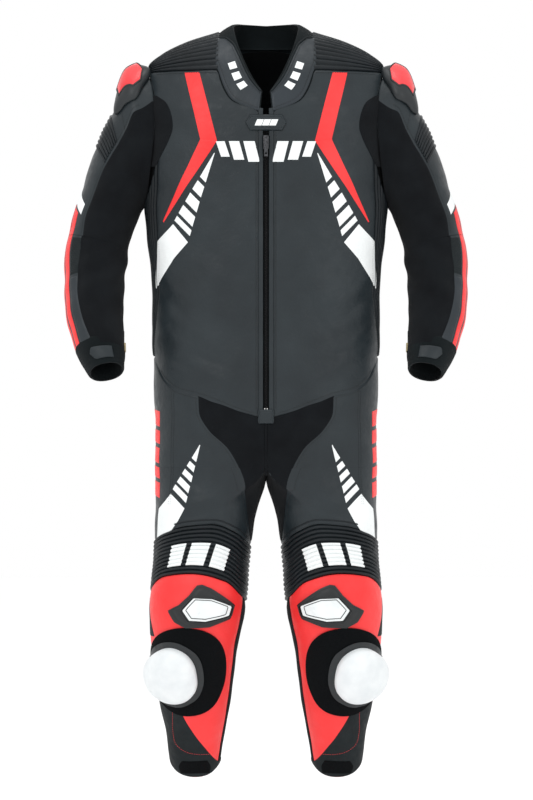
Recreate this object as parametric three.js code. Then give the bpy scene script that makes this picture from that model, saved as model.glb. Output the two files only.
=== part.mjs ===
// A one-piece leather racing suit, empty and holding its worn shape, in millimetres.
// +Z is up, the suit faces -Y, and +X is the wearer's left. The origin is at the hanging
// loop, inside the collar at the centre back of the neck.
import * as THREE from "three";

// ---- Driving dimensions -------------------------------------------------------------
const WALL = 3; // leather with its lining
const PANEL_GAP = 0.5; // between two panels that are sewn edge to edge
const SEAT_GAP = 0.4; // between a part and the panel that it lies on
const FACET_SAG = 1.9; // room under a pad for the flat facets of the surface below it
const BODY_Y = -75; // middle plane of the suit, in front of the hanging loop
const SECTION_POWER = 2.5; // superellipse power of the torso's section
const LIMB_POWER = 2.15; // superellipse power of sleeves and legs

const ZIP_SLOT = 13; // opening between the two front edges
const ZIP_TOP = -180; // top stop of the main zip
const ZIP_BOTTOM = -741; // bottom stop of the main zip
const ZIP_CHAIN = 7; // width of the row of teeth
const ZIP_TAPE = 30; // width of both tapes
const SLIDER = { width: 10.5, length: 26, depth: 6 };
const PULL = { width: 7, length: 34, thickness: 2.2, heel: 1.1 };
const PULL_GAP = 0.6; // lets the pull's square heel turn past the slider
const SLIDER_TOP = -212;

const YOKE_FRONT_Z = -82; // front seam of the ribbed shoulder yoke
const ARMPIT_Z = -338;
const WAIST_SIDE_Z = -640; // waist seam at the side
const WAIST_FRONT_Z = -760; // waist seam at the centre front
const WAIST_BACK_Z = -600; // waist seam at the centre back
const HIP_LINE_Z = -857; // lower edge of the hip panels
const THIGH_TOP_Z = { front: -932, back: -908 };
const THIGH_END_Z = { front: -985, back: -1012 };
const SHIN_TOP_Z = { front: -1075, back: -1128 };
const ANKLE_HEM_Z = -1447;
const ANKLE_HEM_DROP = 28; // how far the hem falls at the front

// Shoulder, elbow, hip and knee stations. Sleeve stations count rings from the armhole.
const CAP_END = 4;
const UPPER_SLEEVE = [6, 7.1];
const FOREARM = [9.3, 13];
const CUFF_END = 14;

const PUCK = { width: 106, height: 108, thickness: 30 };
const HOOK_PATCH = { width: 184, height: 176, thickness: 2.6 };
const HUMP = { width: 150, height: 270, rise: 42 };

// ---- Curves -------------------------------------------------------------------------
// A monotone cubic through [position, value] pairs, listed with rising position.
function curve(pairs) {
  const t = pairs.map((p) => p[0]);
  const y = pairs.map((p) => p[1]);
  const slope = t.slice(1).map((x, i) => (y[i + 1] - y[i]) / (x - t[i]));
  const tangent = t.map((_, i) => {
    if (i === 0) return slope[0];
    if (i === t.length - 1) return slope[i - 1];
    const [a, b] = [slope[i - 1], slope[i]];
    return a * b <= 0 ? 0 : (2 * a * b) / (a + b);
  });
  return (x) => {
    if (x <= t[0]) return y[0] + tangent[0] * (x - t[0]);
    const last = t.length - 1;
    if (x >= t[last]) return y[last] + tangent[last] * (x - t[last]);
    let i = 0;
    while (x > t[i + 1]) i += 1;
    const h = t[i + 1] - t[i];
    const s = (x - t[i]) / h;
    return (
      y[i] * (1 + 2 * s) * (1 - s) ** 2 +
      tangent[i] * h * s * (1 - s) ** 2 +
      y[i + 1] * s * s * (3 - 2 * s) +
      tangent[i + 1] * h * s * s * (s - 1)
    );
  };
}

const lerp = (a, b, t) => a + (b - a) * t;
const smooth = (a, b, x) => {
  const t = Math.min(1, Math.max(0, (x - a) / (b - a)));
  return t * t * (3 - 2 * t);
};
const rad = (degrees) => (degrees * Math.PI) / 180;
const power = (x, n) => Math.sign(x) * Math.abs(x) ** (2 / n);

// ---- Torso surface ------------------------------------------------------------------
const torsoWidth = curve([
  [-880, 218], [-800, 219], [-640, 222], [-520, 225], [-450, 230], [-400, 235],
  [-340, 240], [-200, 240], [-90, 239], [-67, 232], [-43, 204], [-20, 158], [2, 92],
]);
const torsoFront = curve([
  [-880, 114], [-840, 121], [-790, 127], [-760, 128], [-160, 128], [-130, 120],
  [-90, 109], [-67, 101], [-43, 88], [-20, 68], [2, 28],
]);
const torsoBack = curve([
  [-880, 115], [-800, 127], [-740, 124], [-640, 112], [-540, 106], [-450, 114], [-350, 126],
  [-250, 130], [-150, 124], [-90, 114], [-67, 108], [-43, 98], [-20, 86], [2, 68],
]);

// Angle 0 is the centre front, 90 the wearer's left side and 180 the centre back.
function torsoAt(angle, z) {
  const s = Math.sin(rad(angle));
  const c = Math.cos(rad(angle));
  const depth = c > 0 ? torsoFront(z) : torsoBack(z);
  return new THREE.Vector3(
    torsoWidth(z) * power(s, SECTION_POWER),
    BODY_Y - depth * power(c, SECTION_POWER),
    z,
  );
}

// The angle at which the section at z reaches sideways distance x, on the front.
function torsoAngle(x, z) {
  const share = Math.min(1, Math.abs(x) / torsoWidth(z));
  return (Math.sign(x) * Math.asin(share ** (SECTION_POWER / 2)) * 180) / Math.PI;
}

// The height of the shoulder ridge over sideways distance x.
const ridge = curve([[92, 2], [158, -20], [204, -43], [232, -67], [239, -90]]);

// The waist seam over the torso's angle: it dips at the centre front and rises at the back.
const waistFall = curve([[0, 1], [0.08, 0.975], [0.59, 0.64], [0.78, 0.55], [0.89, 0.4], [0.97, 0.15], [1, 0]]);
function waistZ(angle) {
  const share = power(Math.abs(Math.sin(rad(angle))), SECTION_POWER);
  return Math.abs(angle) < 90
    ? lerp(WAIST_SIDE_Z, WAIST_FRONT_Z, waistFall(share))
    : lerp(WAIST_BACK_Z, WAIST_SIDE_Z, share ** 1.5);
}

// ---- Leg surface --------------------------------------------------------------------
const legOuter = curve([
  [-1480, 186], [-1431, 192], [-1384, 200], [-1337, 209], [-1290, 216], [-1243, 222],
  [-1196, 228], [-1149, 230], [-1110, 227], [-1078, 223], [-1031, 221], [-984, 220],
  [-937, 219], [-878, 218], [-800, 219], [-640, 222],
]);
const legInner = curve([
  [-1480, 95], [-1431, 89], [-1384, 82], [-1337, 73], [-1290, 66], [-1243, 59], [-1196, 52],
  [-1149, 43], [-1110, 39], [-1078, 36], [-1031, 32], [-984, 26], [-937, 18], [-890, 7], [-878, 3],
  [-640, 2],
]);
const legMiddleY = curve([
  [-1480, -5], [-1431, -23], [-1384, -41], [-1337, -59], [-1290, -75], [-1243, -89],
  [-1196, -99], [-1149, -103], [-1110, -101], [-1078, -97], [-1031, -91], [-984, -85],
  [-937, -80], [-878, -76], [-640, -75],
]);
const legFront = curve([
  [-1480, 52], [-1431, 56], [-1384, 62], [-1337, 69], [-1290, 76], [-1243, 82], [-1196, 88],
  [-1149, 92], [-1110, 94], [-1078, 95], [-1031, 98], [-984, 102], [-937, 107], [-878, 116],
  [-800, 127], [-640, 128],
]);
const legBack = curve([
  [-1480, 50], [-1431, 55], [-1384, 62], [-1337, 70], [-1290, 77], [-1243, 81], [-1196, 84],
  [-1149, 86], [-1110, 88], [-1078, 92], [-1031, 97], [-984, 102], [-937, 108], [-878, 118],
  [-800, 127], [-640, 112],
]);
const CROTCH_Z = { start: -850, end: -940 }; // where the pelvis turns into two legs
const SPLIT_ANGLE = 112; // where the half pelvis turns into the wall between the legs

// Half of the pelvis section as a closed loop. Angle 0 is the outer side, 90 the front.
function halfPelvisAt(angle, z) {
  const a = ((((angle + 180) % 360) + 360) % 360) - 180;
  if (Math.abs(a) <= SPLIT_ANGLE) {
    const turn = (a * 90) / SPLIT_ANGLE;
    const depth = turn > 0 ? torsoFront(z) : torsoBack(z);
    return new THREE.Vector3(
      Math.max(PANEL_GAP / 2, torsoWidth(z) * power(Math.cos(rad(turn)), SECTION_POWER)),
      BODY_Y - depth * power(Math.sin(rad(turn)), SECTION_POWER),
      z,
    );
  }
  const along = (a > 0 ? a - SPLIT_ANGLE : a + 360 - SPLIT_ANGLE) / (360 - 2 * SPLIT_ANGLE);
  return new THREE.Vector3(PANEL_GAP / 2, BODY_Y + lerp(-torsoFront(z), torsoBack(z), along), z);
}

function legAt(angle, z) {
  const c = Math.cos(rad(angle));
  const s = Math.sin(rad(angle));
  const middle = (legOuter(z) + legInner(z)) / 2;
  const half = (legOuter(z) - legInner(z)) / 2;
  const depth = s > 0 ? legFront(z) : legBack(z);
  const round = new THREE.Vector3(
    middle + half * power(c, LIMB_POWER),
    legMiddleY(z) - depth * power(s, LIMB_POWER),
    z,
  );
  return halfPelvisAt(angle, z).lerp(round, smooth(CROTCH_Z.start, CROTCH_Z.end, z));
}

// ---- Sleeve surface -----------------------------------------------------------------
// Rings from the armhole to the cuff, each with its outer and inner contour point in the
// front view, the middle's y, half its depth, and its forward pitch in degrees.
const SLEEVE_RINGS = [
  { outer: [238, -66], inner: [234, -338], y: -75, depth: 74, pitch: 0 },
  { outer: [266, -74], inner: [240, -342], y: -75, depth: 77, pitch: 0 },
  { outer: [291, -132], inner: [245, -347], y: -76, depth: 77, pitch: 0 },
  { outer: [319, -190], inner: [250, -355], y: -77, depth: 76, pitch: 0 },
  { outer: [344, -250], inner: [255, -367], y: -79, depth: 74, pitch: 0 },
  { outer: [362, -304], inner: [261, -383], y: -81, depth: 72, pitch: 0 },
  { outer: [378, -350], inner: [267, -403], y: -84, depth: 70, pitch: 2 },
  { outer: [389, -398], inner: [273, -429], y: -89, depth: 68, pitch: 6 },
  { outer: [396, -450], inner: [278, -462], y: -98, depth: 66, pitch: 13 },
  { outer: [397, -500], inner: [281, -500], y: -112, depth: 63, pitch: 20 },
  { outer: [393, -545], inner: [281, -542], y: -129, depth: 59, pitch: 23 },
  { outer: [385, -588], inner: [280, -583], y: -148, depth: 55, pitch: 24 },
  { outer: [374, -622], inner: [279, -614], y: -164, depth: 51, pitch: 24 },
  { outer: [366, -640], inner: [278, -632], y: -172, depth: 48, pitch: 24 },
  { outer: [343, -676], inner: [277, -664], y: -187, depth: 42, pitch: 24 },
];
const ring = (pick) => curve(SLEEVE_RINGS.map((r, i) => [i, pick(r)]));
const sleeve = {
  outerX: ring((r) => r.outer[0]),
  outerZ: ring((r) => r.outer[1]),
  innerX: ring((r) => r.inner[0]),
  innerZ: ring((r) => r.inner[1]),
  y: ring((r) => r.y),
  depth: ring((r) => r.depth),
  pitch: ring((r) => r.pitch),
};

// Angle 0 is the outer contour, 90 the front and 180 the inner contour.
function sleeveAt(angle, station) {
  const c = power(Math.cos(rad(angle)), LIMB_POWER);
  const s = power(Math.sin(rad(angle)), LIMB_POWER);
  const outer = [sleeve.outerX(station), sleeve.outerZ(station)];
  const inner = [sleeve.innerX(station), sleeve.innerZ(station)];
  const depth = sleeve.depth(station) * s;
  const pitch = rad(sleeve.pitch(station));
  return new THREE.Vector3(
    lerp(inner[0], outer[0], (1 + c) / 2),
    sleeve.y(station) - depth * Math.cos(pitch),
    lerp(inner[1], outer[1], (1 + c) / 2) + depth * Math.sin(pitch),
  );
}

// ---- Solids from surfaces -----------------------------------------------------------
const asFunction = (value) => (typeof value === "function" ? value : () => value);

// Surfaces whose first number runs clockwise when seen from the side they rise towards.
const clockwise = new Set([legAt, collarAt]);

// The outward normal of surface at the pair (a, b): the cross product of its two slopes.
function normalAt(surface, a, b) {
  const step = 0.05;
  const along = surface(a + step, b).sub(surface(a - step, b));
  const across = surface(a, b + step).sub(surface(a, b - step));
  const normal = clockwise.has(surface) ? across.cross(along) : along.cross(across);
  return normal.normalize();
}

function solid(points, triangles) {
  const geometry = new THREE.BufferGeometry();
  geometry.setAttribute("position", new THREE.Float32BufferAttribute(points.flatMap((p) => p.toArray()), 3));
  let volume = 0;
  for (const [a, b, c] of triangles) volume += points[a].dot(points[b].clone().cross(points[c]));
  geometry.setIndex(volume > 0 ? triangles.flat() : triangles.flatMap(([a, b, c]) => [a, c, b]));
  geometry.computeVertexNormals();
  return geometry;
}

// A panel: the part of a surface that place(p, q) covers as p and q run from 0 to 1, made
// solid between two offsets along the surface's normal. A closed panel joins p = 1 to p = 0.
function panel(surface, place, { across, along, outer = 0, inner = -WALL, closed = false }) {
  const offsets = [asFunction(outer), asFunction(inner)];
  const columns = closed ? across : across + 1;
  const points = [];
  for (const offset of offsets)
    for (let j = 0; j <= along; j += 1)
      for (let i = 0; i < columns; i += 1) {
        const [p, q] = [i / across, j / along];
        const [a, b] = place(p, q);
        points.push(surface(a, b).addScaledVector(normalAt(surface, a, b), offset(p, q)));
      }
  const layer = columns * (along + 1);
  const at = (side, i, j) => side * layer + j * columns + (i % columns);
  const triangles = [];
  const quad = (a, b, c, d) => triangles.push([a, b, c], [a, c, d]);
  for (let j = 0; j < along; j += 1)
    for (let i = 0; i < across; i += 1) {
      quad(at(0, i, j), at(0, i + 1, j), at(0, i + 1, j + 1), at(0, i, j + 1));
      quad(at(1, i, j + 1), at(1, i + 1, j + 1), at(1, i + 1, j), at(1, i, j));
    }
  for (let i = 0; i < across; i += 1) {
    quad(at(1, i, 0), at(1, i + 1, 0), at(0, i + 1, 0), at(0, i, 0));
    quad(at(0, i, along), at(0, i + 1, along), at(1, i + 1, along), at(1, i, along));
  }
  if (!closed)
    for (let j = 0; j < along; j += 1) {
      quad(at(0, 0, j), at(0, 0, j + 1), at(1, 0, j + 1), at(1, 0, j));
      quad(at(1, across, j), at(1, across, j + 1), at(0, across, j + 1), at(0, across, j));
    }
  return solid(points, triangles);
}

// A pad: a disc on a surface. outline(turn) gives its edge as the surface pair there, and
// offsets are functions of r, which is 0 in the middle and 1 at the edge, and of turn.
function pad(surface, middle, outline, { rings, around, outer, inner }) {
  const offsets = [asFunction(outer), asFunction(inner)];
  const points = [];
  for (const offset of offsets) {
    points.push(surface(...middle).addScaledVector(normalAt(surface, ...middle), offset(0, 0)));
    for (let j = 1; j <= rings; j += 1)
      for (let i = 0; i < around; i += 1) {
        const turn = (i / around) * 360;
        const r = j / rings;
        const edge = outline(turn);
        const a = lerp(middle[0], edge[0], r);
        const b = lerp(middle[1], edge[1], r);
        points.push(surface(a, b).addScaledVector(normalAt(surface, a, b), offset(r, turn)));
      }
  }
  const layer = 1 + rings * around;
  const at = (side, j, i) => side * layer + (j === 0 ? 0 : 1 + (j - 1) * around + (i % around));
  const triangles = [];
  for (let i = 0; i < around; i += 1) {
    triangles.push([at(0, 0, 0), at(0, 1, i), at(0, 1, i + 1)], [at(1, 0, 0), at(1, 1, i + 1), at(1, 1, i)]);
    for (let j = 1; j < rings; j += 1)
      for (const side of [0, 1]) {
        const [a, b, c, d] = [at(side, j, i), at(side, j + 1, i), at(side, j + 1, i + 1), at(side, j, i + 1)];
        triangles.push(...(side === 0 ? [[a, b, c], [a, c, d]] : [[c, b, a], [d, c, a]]));
      }
    const [a, b] = [at(0, rings, i), at(0, rings, i + 1)];
    const [c, d] = [at(1, rings, i + 1), at(1, rings, i)];
    triangles.push([a, d, c], [a, c, b]);
  }
  return solid(points, triangles);
}

// ---- Finishes -----------------------------------------------------------------------
const finish = (color, roughness, metalness = 0) =>
  new THREE.MeshStandardMaterial({ color, roughness, metalness, side: THREE.DoubleSide });
const leatherBlack = finish("#394345", 0.5);
const leatherRed = finish("#fa4943", 0.45);
const ribbedLeather = finish("#242c32", 0.55);
const stretchKnit = finish("#191c21", 0.95);
const neoprene = finish("#171f22", 0.85);
const hookTape = finish("#0d0e10", 0.95);
const hardBlack = finish("#1e2427", 0.35);
const hardRed = finish("#e5484c", 0.3);
const hardWhite = finish("#f7f9fa", 0.3);
const foam = finish("#55585c", 0.9);
const zipBlack = finish("#15181a", 0.5);
const zipMetal = finish("#8b8577", 0.35, 0.9);

const suit = new THREE.Group();
function add(name, geometry, material, place = [0, 0, 0]) {
  const mesh = new THREE.Mesh(geometry, material);
  mesh.name = name;
  mesh.position.set(...place);
  suit.add(mesh);
  return mesh;
}
// The same piece on both sides: the wearer's left is +X, and the right is its mirror.
function addPair(name, geometry, material, place = [0, 0, 0]) {
  add(name + "_left", geometry, material, place);
  const right = add(name + "_right", geometry, material, [-place[0], place[1], place[2]]);
  right.scale.x = -1;
}

// ---- Torso --------------------------------------------------------------------------
const half = PANEL_GAP / 2;
// The neckline over distance x, from the centre front to the side of the neck.
const neckFront = curve([[0, -166], [25, -162], [55, -146], [75, -119], [86, -90], [92, -60]]);
const frontTop = (x) => (x < 88 ? Math.min(neckFront(x), YOKE_FRONT_Z) : YOKE_FRONT_Z) - half;
// Rear edge of the front panel: it follows the armhole, then reaches round to the side.
const frontSide = curve([
  [-800, 80], [-650, 80], [-560, 72], [-420, 63], [-338, 60.5], [-250, 59], [-200, 59],
  [-140, 62], [-90, 70], [-60, 74],
]);

const zipEdge = (z) => torsoAngle(ZIP_SLOT / 2, z);
function frontPanelPlace(p, q) {
  const top = frontTop(torsoAt(lerp(zipEdge(-200), frontSide(-200), p), -200).x);
  const low = waistZ(lerp(zipEdge(-700), frontSide(-700), p)) + PANEL_GAP;
  const z = lerp(top, low, q);
  return [lerp(zipEdge(z), frontSide(z), p), z];
}
addPair("front_panel", panel(torsoAt, frontPanelPlace, { across: 8, along: 10 }), leatherBlack);

// The side panel starts under the armhole and its ribs run down the flank.
const backSide = curve([
  [-800, 98], [-650, 98], [-560, 108], [-420, 117], [-338, 119.5], [-250, 121], [-200, 121],
  [-140, 118], [-90, 111], [-60, 108],
]);
const ARMHOLE = { middleZ: -202, halfHeight: 145, halfDepth: 79 };
function armholeLow(angle) {
  const share = Math.min(1, Math.abs(torsoAt(angle, ARMPIT_Z).y - BODY_Y) / ARMHOLE.halfDepth);
  return ARMHOLE.middleZ - ARMHOLE.halfHeight * Math.sqrt(1 - share * share);
}
const SEAM_ANGLE = 0.6; // half the gap of a long seam, as an angle
addPair(
  "side_panel",
  panel(
    torsoAt,
    (p, q) => {
      const z = lerp(armholeLow(lerp(frontSide(-300), backSide(-300), p)), WAIST_SIDE_Z + 3, q);
      return [lerp(frontSide(z) + SEAM_ANGLE, backSide(z) - SEAM_ANGLE, p), z];
    },
    { across: 4, along: 8 },
  ),
  ribbedLeather,
);

// The back is one panel from the neck and the yoke seam to the waist.
const backTop = (x) => (Math.abs(x) < 88 ? -16 : lerp(-18, -92, Math.min(1, (Math.abs(x) - 88) / 148)));
function backPanelPlace(p, q) {
  const share = 2 * p - 1;
  let top = backTop(0);
  for (let i = 0; i < 12; i += 1) top = backTop(torsoAt(180 - share * (180 - backSide(top)), top).x);
  const low = waistZ(180 - Math.abs(share) * (180 - backSide(-700))) + PANEL_GAP;
  const z = lerp(top, low, q);
  return [180 - share * (180 - backSide(z)), z];
}
add("back_panel", panel(torsoAt, backPanelPlace, { across: 12, along: 10 }), leatherBlack);

// The ribbed yoke runs from the collar to the armhole, over the shoulder's ridge.
const YOKE = { neck: 97, arm: 233 };
function yokePoint(x, turn) {
  const top = ridge(x);
  const low = turn < 90 ? YOKE_FRONT_Z + half + 0.6 : backTop(x) + 2 * PANEL_GAP;
  const z = lerp(low, top, Math.sin(rad(turn)));
  const angle = torsoAngle(x, Math.min(z, top - 0.01));
  const point = torsoAt(turn < 90 ? angle : 180 - angle, z);
  return new THREE.Vector3(x, point.y, z);
}
addPair(
  "shoulder_yoke",
  panel(yokePoint, (p, q) => [lerp(YOKE.neck, YOKE.arm - 2.5, p), lerp(0, 180, q)], { across: 5, along: 8 }),
  ribbedLeather,
);

// The collar stands in the neckline, open at the centre front. Its turn is 0 at the centre
// back and 180 at the centre front, and its height runs from 0 at the seam to 1 at the top.
const collarBase = {
  x: curve([[0, 0], [45, 68], [90, 95], [115, 95], [135, 85], [145, 75], [155, 60], [178, 7.5]]),
  y: curve([
    [0, 7], [45, -1], [75, -40], [90, -85], [102, -141], [115, -164], [135, -180], [145, -188],
    [155, -195], [178, -203],
  ]),
  z: curve([
    [0, -15.9], [45, -14], [90, -3], [102, -28], [115, -56], [135, -91], [145, -117.5],
    [155, -139], [178, -163],
  ]),
};
const collarTop = {
  x: curve([[0, 0], [45, 50], [90, 66], [115, 58], [135, 45], [155, 27], [178, 6.5]]),
  y: curve([[0, 3], [45, -14], [90, -82], [115, -138], [135, -168], [155, -187], [178, -196]]),
  z: curve([[0, 25], [45, 27], [90, 18], [115, -18], [135, -56], [155, -95], [178, -126]]),
};
function collarAt(turn, height) {
  const t = Math.abs(turn);
  return new THREE.Vector3(
    Math.sign(turn) * lerp(collarBase.x(t), collarTop.x(t), height),
    lerp(collarBase.y(t), collarTop.y(t), height),
    lerp(collarBase.z(t), collarTop.z(t), height),
  );
}
add(
  "collar",
  panel(collarAt, (p, q) => [lerp(-176, 176, p), q], { across: 20, along: 2, inner: -4 }),
  neoprene,
);

// The main zip: both tapes with the closed row of teeth, behind the slot in the front.
function zipSection(x) {
  const chain = ZIP_CHAIN / 2;
  return Math.abs(x) <= chain + 0.01 ? 2.2 : 0;
}
const frontLine = (z) => BODY_Y - torsoFront(z);
const zipDepth = WALL + SEAT_GAP + 0.4;
const zipPlane = (x, z) => new THREE.Vector3(x, frontLine(z) + zipDepth, z);
const zipColumns = [-ZIP_TAPE / 2, -ZIP_CHAIN / 2 - 0.3, -ZIP_CHAIN / 2, ZIP_CHAIN / 2, ZIP_CHAIN / 2 + 0.3, ZIP_TAPE / 2];
add(
  "main_zip",
  panel(zipPlane, (p, q) => [zipColumns[Math.round(p * 5)], lerp(ZIP_BOTTOM, ZIP_TOP, q)], {
    across: 5,
    along: 6,
    outer: (p) => zipSection(zipColumns[Math.round(p * 5)]),
    inner: -1.4,
  }),
  zipBlack,
);

// The hexagonal patch that covers the top of the zip, and the square one at its foot.
function polygonPlate(corners, thickness) {
  const shape = new THREE.Shape(corners.map(([x, z]) => new THREE.Vector2(x, z)));
  return new THREE.ExtrudeGeometry(shape, { depth: thickness, bevelEnabled: false, steps: 1 })
    .rotateX(Math.PI / 2);
}
const GARAGE = { halfWidth: 38, halfHeight: 15, nose: 9, z: -188, thickness: 3 };
const garageCorners = [
  [-GARAGE.halfWidth, 0],
  [-GARAGE.halfWidth + GARAGE.nose, -GARAGE.halfHeight],
  [GARAGE.halfWidth - GARAGE.nose, -GARAGE.halfHeight],
  [GARAGE.halfWidth, 0],
  [GARAGE.halfWidth - GARAGE.nose, GARAGE.halfHeight],
  [-GARAGE.halfWidth + GARAGE.nose, GARAGE.halfHeight],
];
const plateFront = frontLine(-200) - SEAT_GAP;
add("zip_garage", polygonPlate(garageCorners, GARAGE.thickness), leatherBlack, [0, plateFront, GARAGE.z]);
const END_PATCH = { width: 30, height: 28, z: -757 };
const endCorners = [
  [-END_PATCH.width / 2, -END_PATCH.height / 2],
  [END_PATCH.width / 2, -END_PATCH.height / 2],
  [END_PATCH.width / 2, END_PATCH.height / 2],
  [-END_PATCH.width / 2, END_PATCH.height / 2],
];
add("zip_end_patch", polygonPlate(endCorners, 2.6), leatherBlack, [0, plateFront, END_PATCH.z]);

// The slider runs in the slot, in front of the teeth, and its pull hangs on a pin.
const chainFront = frontLine(-300) + zipDepth - 2.2;
const sliderBack = chainFront - SEAT_GAP;
const sliderBody = new THREE.BoxGeometry(SLIDER.width, SLIDER.depth, SLIDER.length);
add("zip_slider", sliderBody, zipMetal, [0, sliderBack - SLIDER.depth / 2, SLIDER_TOP - SLIDER.length / 2]);
const pullShape = new THREE.Shape();
pullShape.moveTo(-PULL.width / 2, PULL.heel);
pullShape.lineTo(-PULL.width / 2, PULL.heel - PULL.length);
pullShape.lineTo(PULL.width / 2, PULL.heel - PULL.length);
pullShape.lineTo(PULL.width / 2, PULL.heel);
pullShape.closePath();
const pullHole = new THREE.Path();
pullHole.absarc(0, PULL.heel - PULL.length + 6, 2, 0, 2 * Math.PI, true);
pullShape.holes.push(pullHole);
const pullGeometry = new THREE.ExtrudeGeometry(pullShape, {
  depth: PULL.thickness,
  bevelEnabled: false,
  curveSegments: 10,
}).rotateX(Math.PI / 2);
const PULL_PIVOT = [0, sliderBack - SLIDER.depth - PULL_GAP - PULL.thickness / 2, SLIDER_TOP - 8];
add("zip_pull", pullGeometry, zipMetal, [0, PULL_PIVOT[1] + PULL.thickness / 2, PULL_PIVOT[2]]);

// The hump on the back and the spine protector inside it.
const backLine = (a, z) => torsoAt(a, z);
const ellipseOutline = (middle, width, height, scale) => (turn) => [
  middle[0] - (Math.cos(rad(turn)) * width) / 2 / scale,
  middle[1] + (Math.sin(rad(turn)) * height) / 2,
];
const humpMiddle = [180, -205];
const degreesPerMm = (surface, [a, b]) => {
  const span = surface(a + 1, b).distanceTo(surface(a - 1, b));
  return 2 / span;
};
const humpScale = 1 / degreesPerMm(torsoAt, [172, -205]);
add(
  "speed_hump",
  pad(backLine, humpMiddle, ellipseOutline(humpMiddle, HUMP.width, HUMP.height, humpScale), {
    rings: 4,
    around: 18,
    outer: (r) => FACET_SAG + 3 + (HUMP.rise - 3) * (1 - r * r) ** 1.3,
    inner: FACET_SAG - 1,
  }),
  leatherBlack,
);
add(
  "back_protector",
  panel(torsoAt, (p, q) => [lerp(152, 208, p), lerp(-135, -540, q)], {
    across: 6,
    along: 6,
    outer: -WALL - SEAT_GAP - 1.6,
    inner: -WALL - SEAT_GAP - 14,
  }),
  foam,
);

// ---- Pelvis -------------------------------------------------------------------------
// Front edge of the hip panel, as the torso's angle: it leaves the middle to the stretch panel.
const stretchEdge = curve([[-860, 10], [-819, 15.3], [-784, 25.5], [-749, 31], [-700, 31.5]]);
const seamGap = (z) => torsoAngle(PANEL_GAP / 2, z);
const hipTop = (angle) => waistZ(angle) - PANEL_GAP;
addPair(
  "hip_panel",
  panel(
    torsoAt,
    (p, q) => {
      const z = lerp(hipTop(lerp(stretchEdge(-718), 179.8, p)), HIP_LINE_Z, q);
      return [lerp(stretchEdge(z) + SEAM_ANGLE, 180 - seamGap(z), p), z];
    },
    { across: 13, along: 5 },
  ),
  leatherBlack,
);
add(
  "crotch_stretch",
  panel(
    torsoAt,
    (p, q) => {
      const share = 2 * p - 1;
      const z = lerp(hipTop(share * stretchEdge(-718)), HIP_LINE_Z, q);
      return [share * (stretchEdge(z) - SEAM_ANGLE), z];
    },
    { across: 8, along: 5 },
  ),
  stretchKnit,
);

// ---- Sleeves ------------------------------------------------------------------------
const tube = (surface, from, to, across, along, extra = {}) =>
  panel(
    surface,
    (p, q) => [360 * p, lerp(asFunction(from)(360 * p), asFunction(to)(360 * p), q)],
    { across, along, closed: true, ...extra },
  );
const CAP_START = (angle) => 0.12 - 1.15 * Math.sin(rad(angle)) ** 2;
addPair("sleeve_cap", tube(sleeveAt, CAP_START, CAP_END - 0.01, 16, 5), leatherBlack);
addPair("shoulder_gusset", tube(sleeveAt, CAP_END + 0.01, UPPER_SLEEVE[0] - 0.01, 16, 2), ribbedLeather);
addPair("upper_sleeve", tube(sleeveAt, UPPER_SLEEVE[0] + 0.01, UPPER_SLEEVE[1] - 0.01, 16, 1), leatherBlack);
addPair("elbow_gusset", tube(sleeveAt, UPPER_SLEEVE[1] + 0.01, FOREARM[0] - 0.01, 16, 3), stretchKnit);

const FOREARM_SEAM = 62; // angle of the seam between the leather and the stretch panel
addPair(
  "forearm_leather",
  panel(
    sleeveAt,
    (p, q) => [lerp(FOREARM_SEAM - 0.4, -FOREARM_SEAM + 0.4, p), lerp(FOREARM[0] + 0.01, FOREARM[1] - 0.02, q)],
    { across: 6, along: 3 },
  ),
  leatherBlack,
);
addPair(
  "forearm_stretch",
  panel(
    sleeveAt,
    (p, q) => [lerp(FOREARM_SEAM, 360 - FOREARM_SEAM, p), lerp(FOREARM[0] + 0.01, FOREARM[1] - 0.02, q)],
    { across: 10, along: 3 },
  ),
  stretchKnit,
);
addPair("cuff", tube(sleeveAt, FOREARM[1] + 0.01, CUFF_END, 16, 1), neoprene);

// The elbow protector lies inside the forearm, on its outer rear side.
addPair(
  "elbow_protector",
  panel(sleeveAt, (p, q) => [lerp(28, -58, p), lerp(FOREARM[0] + 0.1, 11.4, q)], {
    across: 5,
    along: 3,
    outer: -WALL - SEAT_GAP - 1.2,
    inner: -WALL - SEAT_GAP - 9.5,
  }),
  foam,
);

// The cuff's tab is sewn on at its inner end and folds open about that end.
const TAB = { from: 118, to: 60, low: 13.75, high: 13.15, thickness: 2.4 };
addPair(
  "cuff_tab",
  panel(sleeveAt, (p, q) => [lerp(TAB.from, TAB.to, p), lerp(TAB.high, TAB.low, q)], {
    across: 5,
    along: 2,
    outer: FACET_SAG + TAB.thickness,
    inner: FACET_SAG - 0.8,
  }),
  leatherBlack,
);

// The wrist zip's slider, on the inner side of the forearm.
const WRIST_SLIDER = { width: 8, depth: 4.5, length: 17, station: 12.5 };
const wristTop = sleeveAt(180, 11);
const wristLow = sleeveAt(180, WRIST_SLIDER.station);
const wristLine = wristLow.clone().sub(wristTop).normalize();
const wristSeat = wristLow
  .clone()
  .addScaledVector(normalAt(sleeveAt, 180, WRIST_SLIDER.station), WRIST_SLIDER.depth / 2 + 0.8);
const wristSlider = new THREE.BoxGeometry(WRIST_SLIDER.depth, WRIST_SLIDER.width, WRIST_SLIDER.length)
  .applyQuaternion(new THREE.Quaternion().setFromUnitVectors(new THREE.Vector3(0, 0, -1), wristLine));
addPair("wrist_zip_slider", wristSlider, zipMetal, wristSeat.toArray());

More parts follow.
